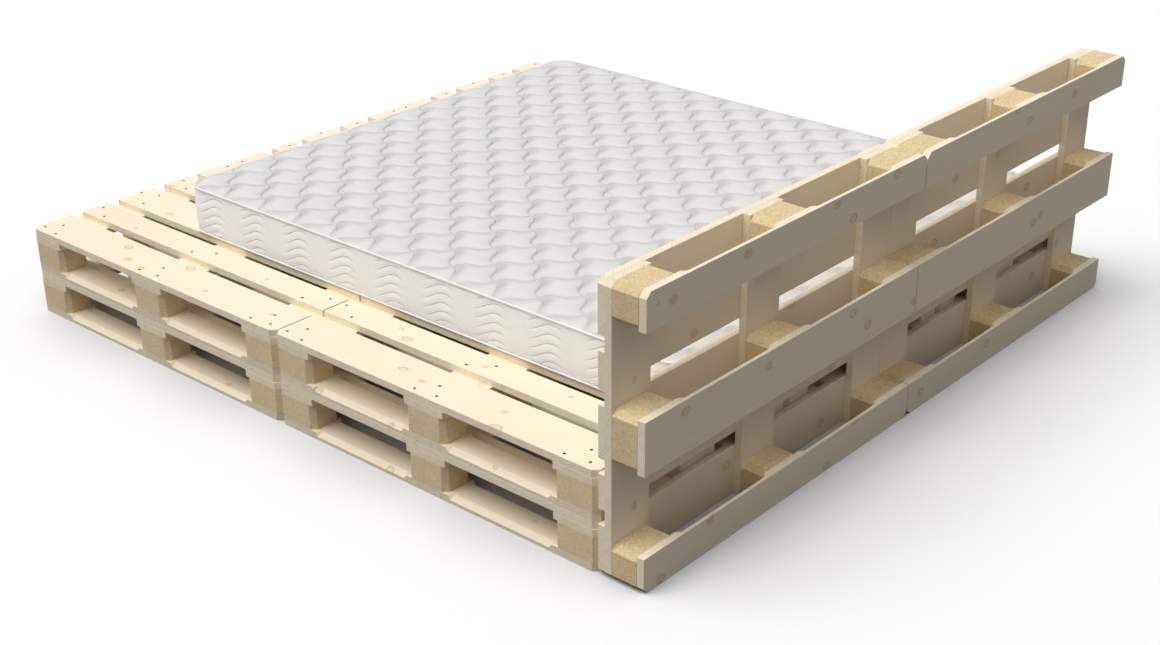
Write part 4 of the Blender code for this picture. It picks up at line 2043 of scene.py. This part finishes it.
        def sewn(column: np.ndarray, row: np.ndarray) -> np.ndarray:
            """How many waves, how high and how far round each point is."""
            share = column / columns
            return np.stack((self.waves(share, around), rising(row), share * around), 1)

        def laid(column: np.ndarray, row: np.ndarray) -> np.ndarray:
            """Each point's place on the cloth before it is sewn."""
            return np.stack((column / columns * around, low.z + rising(row), np.zeros_like(row)), 1)

        marks = {"seam_place": sewn, "cloth_place": laid}
        band = Bench.wrap("mattress_border_band", columns, rows + 3, place, marks)
        Bench.smooth(band, angle=50.0)
        dress(band, self.finishes.border, MATTRESS_BODY, ("mattress_border",))

    def waves(self, share: np.ndarray, around: float) -> np.ndarray:
        """How many waves lie before places round the border, counted so that a crest is a whole number.

        Args:
            share: How far round each place is.
            around: The distance once round.

        Returns:
            The count of waves.
        """
        outline = self.outline()
        width, depth, radius = outline.measures(0.0)
        middle = (outline.low[1] + outline.high[1]) / 2
        count = round(around / self.wave_length)
        side_middle = around - (width + depth) / 2 - radius * math.pi / 2
        crest = side_middle + self.wave_crest - middle
        return (share - crest / around) * count

    def tightness(self, share: np.ndarray, around: float) -> np.ndarray:
        """Say how tight the rows of waves are sewn at places round the border.

        Args:
            share: How far round each place is.
            around: The distance once round.

        Returns:
            Shares from 0 to 1.
        """
        turned = np.cos(math.tau * (self.waves(share, around) + WAVE_TIGHT_AT))
        return smooth_step(np.clip((turned + WAVE_TIGHT_REACH) / (2 * WAVE_TIGHT_REACH), 0, 1))

    def wave(self, share: np.ndarray, around: float) -> np.ndarray:
        """How high the rows of waves swing at places round the border."""
        return WAVE_HEIGHT * np.cos(math.tau * self.waves(share, around))

    def piping(self, name: str, level: float, inset: float, radius: float) -> None:
        """A line of piping once round the mattress.

        Args:
            name: The piece's name.
            level: The height of its middle.
            inset: How far its middle is drawn in from the border's fullest line.
            radius: Half its thickness.
        """
        outline = self.outline()
        around = outline.length()
        columns = self.piping_columns

        def place(column: np.ndarray, row: np.ndarray) -> np.ndarray:
            """Where the cord's points are.

            Args:
                column: Each point's column.
                row: Each point's row round the cord.

            Returns:
                The places.
            """
            angle = row / self.piping_sides * math.tau
            plan = outline.walk(column / columns, inset - radius * np.cos(angle))
            return np.column_stack((plan, level + radius * np.sin(angle)))

        def laid(column: np.ndarray, row: np.ndarray) -> np.ndarray:
            """Each point's place on the tape before it is sewn."""
            angle = row / self.piping_sides * math.tau
            return np.stack((column / columns * around, radius * np.sin(angle), np.zeros_like(row)), 1)

        tape = Bench.wrap(name, columns, self.piping_sides, place, {"cloth_place": laid})
        Bench.smooth(tape, angle=80.0)
        dress(tape, self.finishes.tape, MATTRESS_BODY, ())

    def core(self) -> None:
        """The foam core inside the cover."""
        low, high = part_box("mattress_core")
        size = tuple(b - a - self.core_play for a, b in zip(low, high))
        middle = tuple((a + b) / 2 for a, b in zip(low, high))
        core = Bench.box("mattress_foam_core", size, middle)
        corner = self.radius - self.core_inset
        Bench.bevel(core, corner, self.core_round_steps, lambda a, b: abs(a.z - b.z) > ON_PLANE)
        Bench.ease(core, self.core_ease, steps=2, over=60.0)
        dress(core, self.finishes.foam, MATTRESS_BODY, ("mattress_core",))

    def build(self) -> None:
        """Build every piece of the mattress and dress it."""
        self.core()
        self.bottom_panel()
        self.border()
        self.top_panel()
        low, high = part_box("mattress_border")
        for name, edge, (rise, inset), radius in (
            ("mattress_upper_piping", high.z, self.upper_seat, self.piping_radius),
            ("mattress_lower_piping", low.z, self.lower_seat, self.lower_radius),
        ):
            self.piping(name, edge + rise, self.draw_in + inset, radius)


@dataclass
class Studio:
    """A plain white studio: floor, sky light, one broad lamp and the camera."""

    floor_size: float = 240.0
    floor_level: float = -0.0005
    sky_low: tuple = (0.088, 0.089, 0.091)
    sky_high: tuple = (0.580, 0.590, 0.612)
    lamp_strength: float = 2.20
    lamp_from: tuple = (0.42, -0.22, 0.880)
    lamp_width: float = 50.0
    lamp_distance: float = 6.0
    floor_seen: tuple = (0.880, 0.874, 0.868)
    # The colour of shade painted into the floor close to the object.
    floor_painted_shade: tuple = (0.500, 0.505, 0.520)
    nook_reach: float = 0.42
    nook_samples: int = 8
    nook_range: tuple = (0.10, 0.92)
    floor_bounce: tuple = (0.15, 0.15, 0.15)
    floor_glow: float = 0.085
    azimuth: float = 2.292587
    elevation: float = 0.442201
    roll: float = -0.007455
    focal_pixels: float = 1721.5
    sight: float = 500.0
    eye: tuple = (3.90509, 3.45787, 2.37613)

    def floor(self) -> None:
        """A wide pale floor that shows white in the open, with shade painted in close to what stands on it.
        """
        bpy.ops.object.select_all(action="DESELECT")
        bpy.ops.mesh.primitive_plane_add(size=self.floor_size, location=(0.0, 0.0, self.floor_level))
        ground = Bench.settle("studio_floor")
        recipe = Recipe("studio_floor")
        nodes = recipe.tree.nodes
        nodes.remove(recipe.shader)
        seen = recipe.seen()
        matt = nodes.new("ShaderNodeBsdfDiffuse")
        # Painted shade: where the object's ambient occlusion is deep, the colour the floor shows to the eye
        # goes toward the floor's painted shade colour and its glow is taken away.
        nook = nodes.new("ShaderNodeAmbientOcclusion")
        nook.samples = self.nook_samples
        nook.inputs["Distance"].default_value = self.nook_reach
        deep = recipe.ease(nook.outputs["AO"], *self.nook_range, 1.0, 0.0)
        shaded = recipe.blend(deep, self.floor_seen, self.floor_painted_shade)
        recipe.feed(matt.inputs["Color"], recipe.blend(seen, self.floor_bounce, shaded))
        glow = nodes.new("ShaderNodeEmission")
        lifted = recipe.times(recipe.rest(deep), self.floor_glow)
        recipe.feed(glow.inputs["Strength"], recipe.times(seen, lifted))
        both = nodes.new("ShaderNodeAddShader")
        recipe.feed(both.inputs[0], matt.outputs[0])
        recipe.feed(both.inputs[1], glow.outputs[0])
        recipe.feed(nodes["Material Output"].inputs["Surface"], both.outputs[0])
        ground.data.materials.append(recipe.material)

    def sky_light(self) -> None:
        """Soft light, stronger from overhead, and white where the camera looks past the floor."""
        world = bpy.data.worlds.new("studio_sky")
        world.use_nodes = True
        bpy.context.scene.world = world
        steps = Steps(world.node_tree)
        upward = steps.split(steps.place())[2]
        sky = steps.blend(upward, self.sky_low, self.sky_high)
        back = steps.tree.nodes["Background"]
        back.inputs["Strength"].default_value = 1.0
        steps.feed(back.inputs["Color"], steps.blend(steps.seen(), sky, (1.0, 1.0, 1.0)))

    def lamp(self) -> None:
        """One broad soft lamp from above, the foot end and the open side."""
        toward = Vector(self.lamp_from).normalized()
        bpy.ops.object.light_add(type="SUN", location=toward * self.lamp_distance)
        lamp = bpy.context.object
        lamp.name = "studio_lamp"
        lamp.rotation_euler = toward.to_track_quat("Z", "Y").to_euler()
        lamp.data.energy = self.lamp_strength
        lamp.data.angle = math.radians(self.lamp_width)

    def camera(self) -> None:
        """The camera, where the photograph was taken from."""
        a, e = self.azimuth, self.elevation
        back = Vector((math.sin(a) * math.cos(e), -math.cos(a) * math.cos(e), math.sin(e)))
        right = Vector((0.0, 0.0, 1.0)).cross(back).normalized()
        up = back.cross(right)
        turn_cos, turn_sin = math.cos(self.roll), math.sin(self.roll)
        right, up = turn_cos * right + turn_sin * up, turn_cos * up - turn_sin * right
        place = Matrix((right, up, back)).transposed().to_4x4()
        place.translation = Vector(self.eye)
        bpy.ops.object.camera_add(location=self.eye)
        camera = bpy.context.object
        camera.name = "studio_camera"
        camera.matrix_world = place
        camera.data.sensor_width = SENSOR_WIDTH
        camera.data.sensor_fit = "HORIZONTAL"
        camera.data.lens = self.focal_pixels / PHOTO_WIDTH * SENSOR_WIDTH
        camera.data.clip_end = self.sight
        bpy.context.scene.camera = camera

    def build(self) -> None:
        """Set up the floor, the light and the camera."""
        self.floor()
        self.sky_light()
        self.lamp()
        self.camera()
        bpy.context.scene.view_settings.view_transform = "Standard"


def main() -> None:
    """Build the bed from its sub-assemblies in order, then the studio."""
    logging.basicConfig(level=logging.INFO, format="%(message)s")
    finishes = Finishes.mix()
    patterns = PalletPatterns()
    patterns.model()
    names = [
        f"base_layer{layer}_row{row}_col{column}"
        for layer in (1, 2) for row in (1, 2) for column in (1, 2, 3)
    ]
    for number, name in enumerate(names):
        Pallet(name, Stance.FLAT, patterns, finishes, random.Random(100 + number)).build()
    for number in (1, 2):
        Pallet(f"headboard_{number}", Stance.ON_EDGE, patterns, finishes, random.Random(200 + number)).build()
    patterns.discard()
    Mattress(finishes).build()
    Studio().build()


if __name__ == "__main__":
    main()
